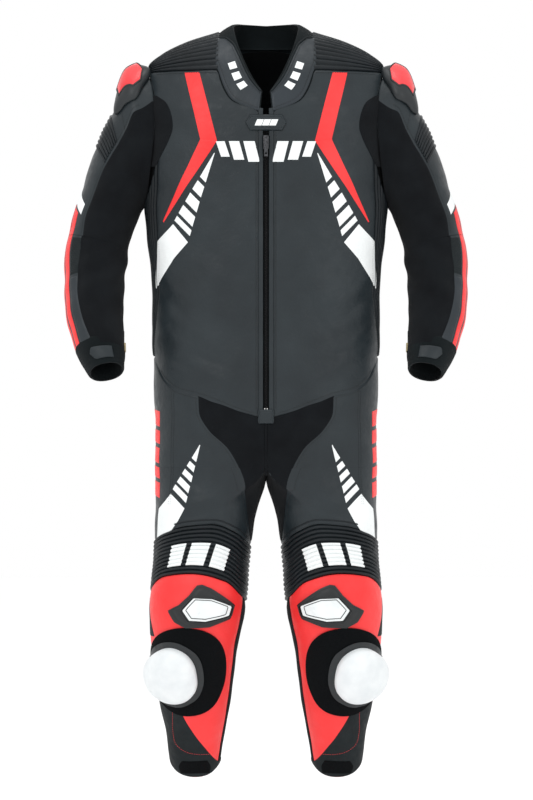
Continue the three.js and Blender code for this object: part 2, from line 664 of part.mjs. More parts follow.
// The hard cup over the point of the shoulder.
const CUP = { middle: [32, 1.05], width: 92, height: 84, rise: 13 };
const cupScale = 1 / degreesPerMm(sleeveAt, CUP.middle);
const stationsPerMm = 2e-1 / sleeveAt(CUP.middle[0], 1.15).distanceTo(sleeveAt(CUP.middle[0], 0.95));
const cupOutline = (turn) => {
  const corner = 1 + 0.1 * Math.cos(rad(4 * turn));
  return [
    CUP.middle[0] - ((Math.cos(rad(turn)) * CUP.width) / 2 / cupScale) * corner,
    Math.max(0.16, CUP.middle[1] - ((Math.sin(rad(turn)) * CUP.height) / 2) * stationsPerMm * corner),
  ];
};
addPair(
  "shoulder_cup",
  pad(sleeveAt, CUP.middle, cupOutline, {
    rings: 3,
    around: 18,
    outer: (r) => FACET_SAG + SEAT_GAP + 3 + (CUP.rise - 3) * (1 - r ** 4),
    inner: FACET_SAG + 0.1,
  }),
  hardBlack,
);

// ---- Legs ---------------------------------------------------------------------------
// A cut across the leg that is tilted between its front and its back.
const tilted = ({ front, back }) => (angle) => lerp(back, front, (1 + Math.sin(rad(angle))) / 2);
const shift = (cut, by) => (angle) => asFunction(cut)(angle) + by;
const thighEnd = tilted(THIGH_END_Z);
const shinTop = tilted(SHIN_TOP_Z);
const thighTop = tilted(THIGH_TOP_Z);
const hem = (angle) => ANKLE_HEM_Z - ANKLE_HEM_DROP * Math.sin(rad(angle));
addPair("groin_gusset", tube(legAt, HIP_LINE_Z - 2 * PANEL_GAP, shift(thighTop, PANEL_GAP), 20, 3), stretchKnit);
addPair("thigh_panel", tube(legAt, thighTop, thighEnd, 20, 2), leatherBlack);
addPair("knee_gusset", tube(legAt, shift(thighEnd, -PANEL_GAP), shift(shinTop, PANEL_GAP), 20, 3), ribbedLeather);
const SHIN_SEAM = { front: 158, back: -22 };
addPair(
  "shin_leather",
  panel(
    legAt,
    (p, q) => {
      const angle = lerp(SHIN_SEAM.front, SHIN_SEAM.back, p);
      return [angle, lerp(shinTop(angle), hem(angle), q)];
    },
    { across: 10, along: 7 },
  ),
  leatherRed,
);
addPair(
  "calf_stretch",
  panel(
    legAt,
    (p, q) => {
      const angle = lerp(SHIN_SEAM.back - 0.5, SHIN_SEAM.front - 360 + 0.5, p);
      return [angle, lerp(shinTop(angle), hem(angle), q)];
    },
    { across: 10, along: 7 },
  ),
  stretchKnit,
);

const PUCK_MIDDLE = [56, -1262];
const HOOK_MIDDLE = [74, -1257];
const legScale = (middle) => 1 / degreesPerMm(legAt, middle);
const roundedOutline = (middle, width, height, bulge) => (turn) => {
  const reach = 1 + bulge * Math.cos(rad(3 * turn + 25));
  return [
    middle[0] - ((Math.cos(rad(turn)) * width) / 2 / legScale(middle)) * reach,
    middle[1] + ((Math.sin(rad(turn)) * height) / 2) * reach,
  ];
};
const hookOuter = FACET_SAG + SEAT_GAP + HOOK_PATCH.thickness;
addPair(
  "hook_patch",
  pad(legAt, HOOK_MIDDLE, roundedOutline(HOOK_MIDDLE, HOOK_PATCH.width, HOOK_PATCH.height, 0.03), {
    rings: 4,
    around: 20,
    outer: hookOuter,
    inner: FACET_SAG + 0.1,
  }),
  hookTape,
);
addPair(
  "knee_puck",
  pad(legAt, PUCK_MIDDLE, roundedOutline(PUCK_MIDDLE, PUCK.width, PUCK.height, 0.07), {
    rings: 4,
    around: 20,
    outer: (r) => hookOuter + 1 + 5 + (PUCK.thickness - 6) * Math.sqrt(Math.max(0, 1 - r ** 2.6)),
    inner: hookOuter + 0.9,
  }),
  hardWhite,
);

// The moulded badge on the kneecap, as corner points sideways and up from its middle.
const BADGE_MIDDLE = [98, -1128];
const BADGE_CORNERS = [
  [70, -7], [47, 4], [29, 23], [17, 42], [9, 44], [-10, 36], [-66, 4], [-58, -22], [-12, -37],
  [31, -39], [54, -28],
];
function badgeOutline(turn) {
  const direction = new THREE.Vector2(Math.cos(rad(turn)), Math.sin(rad(turn)));
  let reach = 30;
  BADGE_CORNERS.forEach((corner, i) => {
    const a = new THREE.Vector2(...corner);
    const b = new THREE.Vector2(...BADGE_CORNERS[(i + 1) % BADGE_CORNERS.length]);
    const edge = b.clone().sub(a);
    const bottom = direction.cross(edge);
    const along = a.cross(edge) / bottom;
    const share = a.cross(direction) / bottom;
    if (along > 0 && share >= -1e-9 && share <= 1 + 1e-9) reach = along;
  });
  return [BADGE_MIDDLE[0] - (direction.x * reach) / legScale(BADGE_MIDDLE), BADGE_MIDDLE[1] + direction.y * reach];
}
addPair(
  "knee_badge",
  pad(legAt, BADGE_MIDDLE, badgeOutline, {
    rings: 3,
    around: 24,
    outer: (r) => FACET_SAG + 3 + 5 * (1 - r ** 3),
    inner: FACET_SAG - 0.8,
  }),
  hardBlack,
);
addPair(
  "knee_protector",
  panel(legAt, (p, q) => [lerp(48, 132, p), lerp(-1112, -1262, q)], {
    across: 8,
    along: 4,
    outer: -WALL - SEAT_GAP - 2.3,
    inner: -WALL - SEAT_GAP - 13,
  }),
  foam,
);

// The ankle zip's slider, on the inner rear side of the calf.
const ANKLE_SLIDER = { width: 8, depth: 4.5, length: 17, angle: 215, z: ANKLE_HEM_Z + 47 };
const ankleLow = legAt(ANKLE_SLIDER.angle, ANKLE_SLIDER.z);
const ankleTop = legAt(ANKLE_SLIDER.angle, ANKLE_SLIDER.z + 120);
const ankleLine = ankleTop.clone().sub(ankleLow).normalize();
const ankleNormal = normalAt(legAt, ANKLE_SLIDER.angle, ANKLE_SLIDER.z);
const ankleSide = new THREE.Vector3().crossVectors(ankleLine, ankleNormal).normalize();
const ankleOut = new THREE.Vector3().crossVectors(ankleSide, ankleLine).normalize();
const ankleTurn = new THREE.Matrix4().makeBasis(ankleOut, ankleSide, ankleLine);
const ankleSlider = new THREE.BoxGeometry(ANKLE_SLIDER.depth, ANKLE_SLIDER.width, ANKLE_SLIDER.length)
  .applyMatrix4(ankleTurn);
const ankleSeat = ankleLow.clone().addScaledVector(ankleOut, ANKLE_SLIDER.depth / 2 + 0.8);
addPair("ankle_zip_slider", ankleSlider, zipMetal, ankleSeat.toArray());

export default suit;
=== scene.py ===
"""A one-piece leather racing suit, empty and holding its worn shape.

Every length below is in millimetres unless a name says otherwise, and becomes metres only
where a mesh is made. +Z is up, the suit faces -Y and +X is the wearer's left. Pieces are
worked out for the +X side, and the other side is their mirror image.
"""

from __future__ import annotations

import logging
import math
from dataclasses import dataclass
from enum import Enum
from typing import Callable, Sequence

import bpy
import numpy as np
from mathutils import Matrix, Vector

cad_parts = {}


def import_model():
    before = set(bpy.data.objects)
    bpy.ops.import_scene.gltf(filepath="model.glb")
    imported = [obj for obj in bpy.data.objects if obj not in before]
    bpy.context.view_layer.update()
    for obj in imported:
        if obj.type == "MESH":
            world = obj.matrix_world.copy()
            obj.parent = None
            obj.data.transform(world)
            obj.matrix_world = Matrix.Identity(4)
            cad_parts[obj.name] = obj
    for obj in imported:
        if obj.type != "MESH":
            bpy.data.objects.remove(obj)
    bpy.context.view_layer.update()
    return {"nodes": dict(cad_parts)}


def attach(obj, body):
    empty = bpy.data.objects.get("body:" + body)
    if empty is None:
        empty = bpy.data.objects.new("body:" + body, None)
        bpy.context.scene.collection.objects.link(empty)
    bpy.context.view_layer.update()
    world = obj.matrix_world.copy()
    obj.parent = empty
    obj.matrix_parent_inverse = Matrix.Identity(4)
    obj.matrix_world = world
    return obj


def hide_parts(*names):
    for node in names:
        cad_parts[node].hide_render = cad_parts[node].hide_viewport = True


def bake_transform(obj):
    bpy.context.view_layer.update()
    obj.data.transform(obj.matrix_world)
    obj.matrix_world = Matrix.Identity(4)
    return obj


log = logging.getLogger("racing_suit")

Array = np.ndarray
MM = 0.001

BODY_Y = -75.0
SECTION_POWER = 2.5
LIMB_POWER = 2.15
SIDES = ((1, "left"), (-1, "right"))


# ---- Curves and surfaces ----------------------------------------------------------------
class Curve:
    """A monotone cubic through [position, value] pairs, carried on straight past its ends."""

    def __init__(self, *pairs: tuple[float, float]) -> None:
        """Work out the slope at each point as the harmonic mean of its two neighbours'."""
        self.t, self.y = np.array(pairs, float).T
        d = np.diff(self.y) / np.diff(self.t)
        m = np.concatenate([d[:1], np.zeros(len(d) - 1), d[-1:]])
        same = d[:-1] * d[1:] > 0
        m[1:-1][same] = 2 * d[:-1][same] * d[1:][same] / (d[:-1] + d[1:])[same]
        self.m = m

    def __call__(self, x: Array | float) -> Array:
        """The value at x, by Hermite's formula between the two nearest points."""
        x = np.asarray(x, float)
        inside = np.clip(x, self.t[0], self.t[-1])
        i = np.clip(np.searchsorted(self.t, inside, side="right") - 1, 0, len(self.t) - 2)
        h = self.t[i + 1] - self.t[i]
        s = (inside - self.t[i]) / h
        value = (
            self.y[i] * (1 + 2 * s) * (1 - s) ** 2
            + self.m[i] * h * s * (1 - s) ** 2
            + self.y[i + 1] * s * s * (3 - 2 * s)
            + self.m[i + 1] * h * s * s * (s - 1)
        )
        low, high = x - self.t[0], x - self.t[-1]
        return value + np.where(low < 0, self.m[0] * low, 0) + np.where(high > 0, self.m[-1] * high, 0)


def smooth(a: float, b: float, x: Array) -> Array:
    """0 before a and 1 after b, with a smooth cubic step between them."""
    t = np.clip((np.asarray(x, float) - a) / (b - a), 0, 1)
    return t * t * (3 - 2 * t)


def power(x: Array, n: float) -> Array:
    """x to the power 2/n with its sign kept, for a superellipse."""
    return np.sign(x) * np.abs(x) ** (2 / n)


def bump(x: Array, middle: float, width: float) -> Array:
    """A bell of height 1 round middle."""
    return np.exp(-(((x - middle) / width) ** 2))


class Draped:
    """Shared part of the surfaces: normals, wrinkles and finding a point from the front."""

    turn = 1.0
    step = (0.25, 1.0)

    def base(self, a: Array, b: Array) -> Array:
        """The point at the pair (a, b), before wrinkles."""
        raise NotImplementedError

    def wrinkle(self, p: Array) -> Array:
        """How far the leather stands off the plain shape at point p."""
        return 0 * p[..., 0]

    def _normal_of(self, f: Callable[[Array, Array], Array], a: Array, b: Array) -> Array:
        """The outward normal of f: the cross product of its two slopes, at unit length."""
        da, db = self.step
        along = f(a + da, b) - f(a - da, b)
        across = f(a, b + db) - f(a, b - db)
        n = np.cross(along, across) * self.turn
        return n / np.maximum(np.linalg.norm(n, axis=-1, keepdims=True), 1e-9)

    def point(self, a: Array, b: Array) -> Array:
        """The plain point, pushed along its normal by the wrinkles."""
        a, b = np.broadcast_arrays(np.asarray(a, float), np.asarray(b, float))
        p = self.base(a, b)
        return p + self._normal_of(self.base, a, b) * self.wrinkle(p)[..., None]

    def normal(self, a: Array, b: Array) -> Array:
        """The outward normal of the wrinkled surface."""
        a, b = np.broadcast_arrays(np.asarray(a, float), np.asarray(b, float))
        return self._normal_of(self.point, a, b)

    def locate(self, x: Array, z: Array, guess: tuple[float, float]) -> tuple[Array, Array]:
        """The pair whose point shows at (x, z) from the front.

        Args:
            x: Sideways places.
            z: Heights.
            guess: A pair on the front side, where the search starts.

        Returns:
            The two numbers, found by Newton's method on the plain shape.
        """
        x, z = np.broadcast_arrays(np.asarray(x, float), np.asarray(z, float))
        a = np.full(x.shape, float(guess[0]))
        b = z.copy() if self.step[1] == 1.0 else np.full(x.shape, float(guess[1]))
        da, db = self.step
        for _ in range(14):
            p = self.base(a, b)
            fa = (self.base(a + da, b) - p) / da
            fb = (self.base(a, b + db) - p) / db
            ex, ez = x - p[..., 0], z - p[..., 2]
            det = fa[..., 0] * fb[..., 2] - fb[..., 0] * fa[..., 2]
            det = np.where(np.abs(det) < 1e-3, np.where(det < 0, -1e-3, 1e-3), det)
            a = a + np.clip((ex * fb[..., 2] - fb[..., 0] * ez) / det, -12, 12)
            b = b + np.clip((fa[..., 0] * ez - ex * fa[..., 2]) / det, -40 * db, 40 * db)
        return a, b


class Even(Draped):
    """A surface without its folds, for hard pieces."""

    def __init__(self, surface: Draped) -> None:
        self.surface, self.turn, self.step = surface, surface.turn, surface.step

    def base(self, a: Array, b: Array) -> Array:
        """The plain point of the surface."""
        return self.surface.base(a, b)


def waves(p: Array, items: Sequence[tuple[float, float, float, float, float]]) -> Array:
    """A sum of plain sine waves.

    Args:
        p: Points.
        items: For each wave its height, its waves per metre along x, y and z, and its phase.

    Returns:
        The height of the sum at each point.
    """
    total = np.zeros(p.shape[:-1])
    for height, kx, ky, kz, phase in items:
        total += height * np.sin((p @ np.array([kx, ky, kz])) * 2 * math.pi / 1000 + phase)
    return total


def fold(p: Array, start: tuple[float, float], end: tuple[float, float], width: float) -> Array:
    """A crease seen from the front: a bell across the line from start to end, fading at its ends."""
    s, e = np.array(start), np.array(end)
    d = (e - s) / np.linalg.norm(e - s)
    q = np.stack([p[..., 0], p[..., 2]], -1) - s
    along = q @ d / np.linalg.norm(e - s)
    across = q @ np.array([-d[1], d[0]])
    return np.exp(-((across / width) ** 2)) * np.sin(math.pi * np.clip(along, 0, 1)) ** 1.2


class Torso(Draped):
    """The body of the suit. Angle 0 is the centre front, 90 the side, 180 the centre back."""

    width = Curve(
        (-880, 218), (-800, 219), (-640, 222), (-520, 225), (-450, 230), (-400, 235),
        (-340, 240), (-200, 240), (-90, 239), (-67, 232), (-43, 204), (-20, 158), (2, 92),
    )
    front = Curve(
        (-880, 114), (-840, 121), (-790, 127), (-760, 128), (-160, 128), (-130, 120),
        (-90, 109), (-67, 101), (-43, 88), (-20, 68), (2, 28),
    )
    back = Curve(
        (-880, 115), (-800, 127), (-740, 124), (-640, 112), (-540, 106), (-450, 114),
        (-350, 126), (-250, 130), (-150, 124), (-90, 114), (-67, 108), (-43, 98),
        (-20, 86), (2, 68),
    )

    def base(self, a: Array, b: Array) -> Array:
        """A superellipse of the width and depth at height b, deeper or shallower at the back."""
        s, c = np.sin(np.radians(a)), np.cos(np.radians(a))
        depth = np.where(c > 0, self.front(b), self.back(b))
        x = self.width(b) * power(s, SECTION_POWER)
        return np.stack([x, BODY_Y - depth * power(c, SECTION_POWER), b], -1)

    def wrinkle(self, p: Array) -> Array:
        """Slow hollows over the chest and belly, and pulls from the armpit and the waist."""
        x = np.abs(p[..., 0])
        q = np.stack([x, p[..., 1], p[..., 2]], -1)
        soft = smooth(8, 40, x)
        w = waves(q, [(1.0, 3.1, 0, 4.3, 0.4), (0.7, -5.2, 2, 6.1, 2.0), (0.45, 9.0, 3, -4.0, 1.1)])
        w += 0.35 * waves(q, [(1, 14, 4, 9, 0.7), (1, -11, 5, 15, 3.0)])
        w = w * soft
        w += 1.6 * fold(q, (222, -470), (120, -560), 11) - 1.2 * fold(q, (225, -500), (130, -585), 9)
        w += 1.3 * fold(q, (226, -560), (140, -640), 10) + 1.2 * fold(q, (200, -640), (70, -690), 10)
        w -= 1.2 * fold(q, (205, -610), (60, -668), 9)
        return w

    def angle(self, x: Array, z: Array) -> Array:
        """The angle at which the section at height z reaches sideways distance x in front."""
        share = np.clip(np.abs(x) / self.width(z), 0, 1)
        return np.sign(x) * np.degrees(np.arcsin(share ** (SECTION_POWER / 2)))


TORSO = Torso()
CROTCH = (-850.0, -940.0)
SPLIT_ANGLE = 112.0


class Leg(Draped):
    """One leg up to the waist. Angle 0 is the outer side, 90 the front, 180 the inner side."""

    turn = -1.0
    outer = Curve(
        (-1480, 186), (-1431, 192), (-1384, 200), (-1337, 209), (-1290, 216), (-1243, 222),
        (-1196, 228), (-1149, 230), (-1110, 227), (-1078, 223), (-1031, 221), (-984, 220),
        (-937, 219), (-878, 218), (-800, 219), (-640, 222),
    )
    inner = Curve(
        (-1480, 95), (-1431, 89), (-1384, 82), (-1337, 73), (-1290, 66), (-1243, 59),
        (-1196, 52), (-1149, 43), (-1110, 39), (-1078, 36), (-1031, 32), (-984, 26),
        (-937, 18), (-890, 7), (-878, 3), (-640, 2),
    )
    middle = Curve(
        (-1480, -5), (-1431, -23), (-1384, -41), (-1337, -59), (-1290, -75), (-1243, -89),
        (-1196, -99), (-1149, -103), (-1110, -101), (-1078, -97), (-1031, -91), (-984, -85),
        (-937, -80), (-878, -76), (-640, -75),
    )
    front = Curve(
        (-1480, 52), (-1431, 56), (-1384, 62), (-1337, 69), (-1290, 76), (-1243, 82),
        (-1196, 88), (-1149, 92), (-1110, 94), (-1078, 95), (-1031, 98), (-984, 102),
        (-937, 107), (-878, 116), (-800, 127), (-640, 128),
    )
    back = Curve(
        (-1480, 50), (-1431, 55), (-1384, 62), (-1337, 70), (-1290, 77), (-1243, 81),
        (-1196, 84), (-1149, 86), (-1110, 88), (-1078, 92), (-1031, 97), (-984, 102),
        (-937, 108), (-878, 118), (-800, 127), (-640, 112),
    )

    def base(self, a: Array, b: Array) -> Array:
        """Half the pelvis with a flat wall between the legs, turning into an oval below the crotch."""
        a = (np.asarray(a, float) + 180) % 360 - 180
        turn = np.radians(a * 90 / SPLIT_ANGLE)
        depth = np.where(a > 0, TORSO.front(b), TORSO.back(b))
        px = np.maximum(0.25, TORSO.width(b) * power(np.cos(turn), SECTION_POWER))
        py = BODY_Y - depth * power(np.sin(turn), SECTION_POWER)
        wall = np.abs(a) > SPLIT_ANGLE
        along = (np.where(a > 0, a, a + 360) - SPLIT_ANGLE) / (360 - 2 * SPLIT_ANGLE)
        px = np.where(wall, 0.25, px)
        py = np.where(wall, BODY_Y - TORSO.front(b) + along * (TORSO.front(b) + TORSO.back(b)), py)
        c, s = np.cos(np.radians(a)), np.sin(np.radians(a))
        mid, half = (self.outer(b) + self.inner(b)) / 2, (self.outer(b) - self.inner(b)) / 2
        lx = mid + half * power(c, LIMB_POWER)
        ly = self.middle(b) - np.where(s > 0, self.front(b), self.back(b)) * power(s, LIMB_POWER)
        w = smooth(CROTCH[0], CROTCH[1], b)
        return np.stack([px + (lx - px) * w, py + (ly - py) * w, b + 0 * a], -1)

    def wrinkle(self, p: Array) -> Array:
        """Slow hollows, pulls across the groin and shin, and small folds over the ankle."""
        w = waves(p, [(0.9, 4.1, 2, 5.3, 1.4), (0.6, -7.2, 3, 7.1, 0.3)])
        w += 0.3 * waves(p, [(1, 15, 6, 11, 1.7), (1, -12, 8, 17, 0.2)])
        z = p[..., 2]
        w *= smooth(-640, -700, z) * (1 - 0.8 * smooth(-1460, -1480, z))
        w += 1.5 * fold(p, (60, -905), (175, -935), 9) - 1.3 * fold(p, (55, -925), (165, -958), 8)
        w += 1.2 * fold(p, (200, -880), (110, -915), 9)
        w += 1.0 * fold(p, (80, -1385), (180, -1405), 8) - 0.9 * fold(p, (85, -1405), (180, -1425), 7)
        return w


SLEEVE_RINGS = (
    # outer x, outer z, inner x, inner z, middle y, half depth, forward pitch in degrees
    (238, -66, 234, -338, -75, 74, 0),
    (266, -74, 240, -342, -75, 77, 0),
    (291, -132, 245, -347, -76, 77, 0),
    (319, -190, 250, -355, -77, 76, 0),
    (344, -250, 255, -367, -79, 74, 0),
    (362, -304, 261, -383, -81, 72, 0),
    (378, -350, 267, -403, -84, 70, 2),
    (389, -398, 273, -429, -89, 68, 6),
    (396, -450, 278, -462, -98, 66, 13),
    (397, -500, 281, -500, -112, 63, 20),
    (393, -545, 281, -542, -129, 59, 23),
    (385, -588, 280, -583, -148, 55, 24),
    (374, -622, 279, -614, -164, 51, 24),
    (366, -640, 278, -632, -172, 48, 24),
    (343, -676, 277, -664, -187, 42, 24),
)


class Sleeve(Draped):
    """One sleeve. Angle 0 is the outer contour, 90 the front, and stations count the rings."""

    step = (0.5, 0.02)
    rings = [
        Curve(*[(i, ring[k]) for i, ring in enumerate(SLEEVE_RINGS)]) for k in range(7)
    ]

    def base(self, a: Array, b: Array) -> Array:
        """A superellipse across the line from the inner to the outer contour point, pitched forward."""
        c = power(np.cos(np.radians(a)), LIMB_POWER)
        s = power(np.sin(np.radians(a)), LIMB_POWER)
        ox, oz, ix, iz, y, depth, pitch = (curve(b) for curve in self.rings)
        share, pitch = (1 + c) / 2, np.radians(pitch)
        return np.stack(
            [
                ix + (ox - ix) * share,
                y - depth * s * np.cos(pitch),
                iz + (oz - iz) * share + depth * s * np.sin(pitch),
            ],
            -1,
        )

    def wrinkle(self, p: Array) -> Array:
        """Rings of soft folds round the elbow crook, and slow hollows elsewhere."""
        z = p[..., 2]
        w = waves(p, [(0.8, 6, 3, 6.5, 0.2), (0.5, -9, 4, 9, 1.0)])
        w += 0.3 * waves(p, [(1, 17, 8, 13, 2.1), (1, -14, 9, 18, 0.9)])
        crook = bump(z, -455, 85) * smooth(-40, -110, p[..., 1]) * smooth(385, 335, p[..., 0])
        w += 1.7 * crook * np.sin((z + 0.35 * p[..., 0] - 0.4 * p[..., 1]) * 2 * math.pi / 47)
        w += 1.8 * fold(p, (250, -290), (330, -262), 9) - 1.5 * fold(p, (250, -312), (335, -285), 8)
        w += 1.5 * fold(p, (258, -345), (345, -320), 9) - 1.2 * fold(p, (262, -372), (350, -348), 8)
        return w * smooth(-676, -640, z)


LEG, SLEEVE = Leg(), Sleeve()

class CollarForm(Draped):
    """The standing collar. Turn 0 is the centre back and 178 the centre front edge."""

    turn = -1.0
    step = (0.5, 0.02)
    base_x = Curve((0, 0), (45, 68), (90, 95), (115, 95), (135, 85), (145, 75), (155, 60), (178, 7.5))
    base_y = Curve(
        (0, 7), (45, -1), (75, -40), (90, -85), (102, -141), (115, -164), (135, -180),
        (145, -188), (155, -195), (178, -203),
    )
    base_z = Curve(
        (0, -15.9), (45, -14), (90, -3), (102, -28), (115, -56), (135, -91), (145, -117.5),
        (155, -139), (178, -163),
    )
    top_x = Curve((0, 0), (45, 50), (90, 66), (115, 58), (135, 45), (155, 27), (178, 6.5))
    top_y = Curve((0, 3), (45, -14), (90, -82), (115, -138), (135, -168), (155, -187), (178, -196))
    top_z = Curve((0, 25), (45, 27), (90, 18), (115, -18), (135, -56), (155, -95), (178, -126))

    def base(self, a: Array, b: Array) -> Array:
        """A straight rise from the neckline to the top edge."""
        t, side = np.abs(a), np.sign(a)
        side = np.where(side == 0, 1.0, side)
        low = np.stack([side * self.base_x(t), self.base_y(t), self.base_z(t)], -1)
        high = np.stack([side * self.top_x(t), self.top_y(t), self.top_z(t)], -1)
        return low + (high - low) * np.asarray(b)[..., None]


COLLAR = CollarForm()


def waist_height(x: Array) -> Array:
    """The waist seam's height in front over sideways distance x."""
    fall = Curve((0, 1), (0.08, 0.975), (0.59, 0.64), (0.78, 0.55), (0.89, 0.4), (0.97, 0.15), (1, 0))
    return -640 - 120 * fall(np.clip(np.abs(x) / 220, 0, 1))


# ---- Meshes ------------------------------------------------------------------------------
def new_object(name: str, verts: Array, faces: Array, uv: Array | None = None) -> bpy.types.Object:
    """Put arrays into a mesh object.

    Args:
        name: The piece's name.
        verts: Points in millimetres.
        faces: Rows of four vertex numbers; a row that ends in -1 is a triangle.
        uv: Flat coordinates of each vertex in millimetres, for woven patterns.

    Returns:
        The object, at the origin.
    """
    mesh = bpy.data.meshes.new(name)
    sizes = np.where(faces[:, 3] < 0, 3, 4)
    loops = faces[faces >= 0].astype(np.int32)
    mesh.vertices.add(len(verts))
    mesh.vertices.foreach_set("co", (verts * MM).astype(np.float32).ravel())
    mesh.loops.add(len(loops))
    mesh.loops.foreach_set("vertex_index", loops)
    mesh.polygons.add(len(sizes))
    mesh.polygons.foreach_set("loop_start", (np.cumsum(sizes) - sizes).astype(np.int32))
    mesh.polygons.foreach_set("loop_total", sizes.astype(np.int32))
    mesh.polygons.foreach_set("use_smooth", np.ones(len(sizes), bool))
    if uv is not None:
        layer = mesh.uv_layers.new(name="cloth")
        layer.data.foreach_set("uv", (uv[loops] * MM).astype(np.float32).ravel())
    mesh.update(calc_edges=True)
    mesh.validate()
    mesh.set_sharp_from_angle(angle=math.radians(55))
    obj = bpy.data.objects.new(name, mesh)
    bpy.context.scene.collection.objects.link(obj)
    return obj


def grid_quads(rows: int, columns: int, closed: bool) -> Array:
    """The faces of a grid of rows by columns points, round a ring if closed."""
    j, i = np.meshgrid(np.arange(rows - 1), np.arange(columns if closed else columns - 1), indexing="ij")
    k = (i + 1) % columns
    quads = np.stack([j * columns + i, j * columns + k, (j + 1) * columns + k, (j + 1) * columns + i], -1)
    return quads.reshape(-1, 4)


def rim_quads(ring: Array, shift: int, closed: bool) -> Array:
    """The faces between a line of vertices and the same line shift numbers on."""
    a, b = (ring, np.roll(ring, -1)) if closed else (ring[:-1], ring[1:])
    return np.stack([b, a, a + shift, b + shift], -1)


def flat_lengths(points: Array) -> Array:
    """Flat coordinates of a grid of points: the lengths run along its two directions."""
    du = np.linalg.norm(np.diff(points, axis=1), axis=-1).mean(0)
    dv = np.linalg.norm(np.diff(points, axis=0), axis=-1).mean(1)
    u = np.concatenate([[0], np.cumsum(du)])
    v = np.concatenate([[0], np.cumsum(dv)])
    return np.stack(np.meshgrid(u, v), -1)


@dataclass(frozen=True)
class Sheets:
    """The arrays of one or more closed sheets: vertices, faces and flat coordinates."""

    verts: Array
    faces: Array
    uv: Array

    def make(self, name: str) -> bpy.types.Object:
        """Turn the arrays into a mesh object."""
        return new_object(name, self.verts, self.faces, self.uv)


def joined(parts: Sequence[Sheets]) -> Sheets:
    """Several sheets as one set of arrays."""
    starts = np.cumsum([0] + [len(p.verts) for p in parts[:-1]])
    faces = [np.where(p.faces < 0, -1, p.faces + n) for p, n in zip(parts, starts)]
    return Sheets(
        np.concatenate([p.verts for p in parts]), np.concatenate(faces), np.concatenate([p.uv for p in parts])
    )


def shell(outer: Array, inner: Array, side: int = 1, closed: bool = False) -> Sheets:
    """A closed sheet between two grids of points.

    Args:
        outer: The outside, rows by columns by three.
        inner: The inside, of the same shape.
        side: 1 as worked out, or -1 for its mirror image.
        closed: Whether the columns go round a ring.

    Returns:
        The sheet, with its faces pointing out.
    """
    rows, columns = outer.shape[:2]
    n = rows * columns
    verts = np.concatenate([outer.reshape(-1, 3), inner.reshape(-1, 3)])
    quads = grid_quads(rows, columns, closed)
    number = np.arange(n).reshape(rows, columns)
    rims = [rim_quads(number[0], n, closed), rim_quads(number[-1][::-1], n, closed)]
    if not closed:
        rims += [rim_quads(number[::-1, 0], n, False), rim_quads(number[:, -1], n, False)]
    faces = np.concatenate([quads, quads[:, ::-1] + n, *rims])
    a, b, c, d = (verts[faces[:, k]] for k in range(4))
    volume = np.einsum("ij,ij->", a, np.cross(b, c)) + np.einsum("ij,ij->", a, np.cross(c, d))
    verts = verts * np.array([side, 1, 1])
    if volume * side < 0:
        faces = faces[:, ::-1]
    uv = np.concatenate([flat_lengths(outer).reshape(-1, 2)] * 2)
    return Sheets(verts, faces, uv)


def edge_distance(points: Array, closed: bool = False, ends: tuple[bool, bool] = (True, True)) -> Array:
    """How far each point of a grid is from the grid's edge, measured along its rows and columns."""
    v = np.linalg.norm(np.diff(points, axis=0), axis=-1)
    v = np.concatenate([np.zeros((1, v.shape[1])), np.cumsum(v, 0)])
    away = np.minimum(v if ends[0] else 1e3, v[-1] - v if ends[1] else 1e3) + 0 * v
    if closed:
        return away
    u = np.linalg.norm(np.diff(points, axis=1), axis=-1)
    u = np.concatenate([np.zeros((u.shape[0], 1)), np.cumsum(u, 1)], 1)
    return np.minimum(away, np.minimum(u, u[:, -1:] - u))


def polyline(points: Sequence[Sequence[float]], count: int, curved: bool = False) -> Array:
    """Points spaced evenly along a line of corners, rounded through them if curved."""
    p = np.array(points, float)
    length = np.concatenate([[0], np.cumsum(np.linalg.norm(np.diff(p, axis=0), axis=1))])
    t = np.linspace(0, length[-1], count)
    if not curved or len(p) < 3:
        return np.stack([np.interp(t, length, p[:, k]) for k in range(p.shape[1])], -1)
    m = np.gradient(p, length, axis=0)
    i = np.clip(np.searchsorted(length, t, side="right") - 1, 0, len(p) - 2)
    h = (length[i + 1] - length[i])[:, None]
    s = (t[:, None] - length[i][:, None]) / h
    return (
        p[i] * (1 + 2 * s) * (1 - s) ** 2
        + m[i] * h * s * (1 - s) ** 2
        + p[i + 1] * s * s * (3 - 2 * s)
        + m[i + 1] * h * s * s * (s - 1)
    )


class Body(Enum):
    """The moving bodies of the suit that have a left and a right one, and the torso."""

    TORSO = "torso"
    UPPER_ARM = "upper_arm"
    FOREARM = "forearm"
    THIGH = "thigh"
    SHIN = "shin"
    TAB = "wrist_tab"
    PUCK = "slider_puck"

    def named(self, side: str) -> str:
        """The body's name in the frame."""
        return self.value if self is Body.TORSO else f"{self.value}_{side}"


class Bend(Enum):
    """The four limb joints: the two bodies, then the start and end of the bending stretch."""

    SHOULDER = (Body.TORSO, Body.UPPER_ARM, (300, -79, -285), (322, -86, -388))
    ELBOW = (Body.UPPER_ARM, Body.FOREARM, (334, -90, -408), (338, -112, -500))
    HIP = (Body.TORSO, Body.THIGH, (114, -78, -858), (118, -80, -935))
    KNEE = (Body.THIGH, Body.SHIN, (125, -90, -1005), (130, -97, -1063))


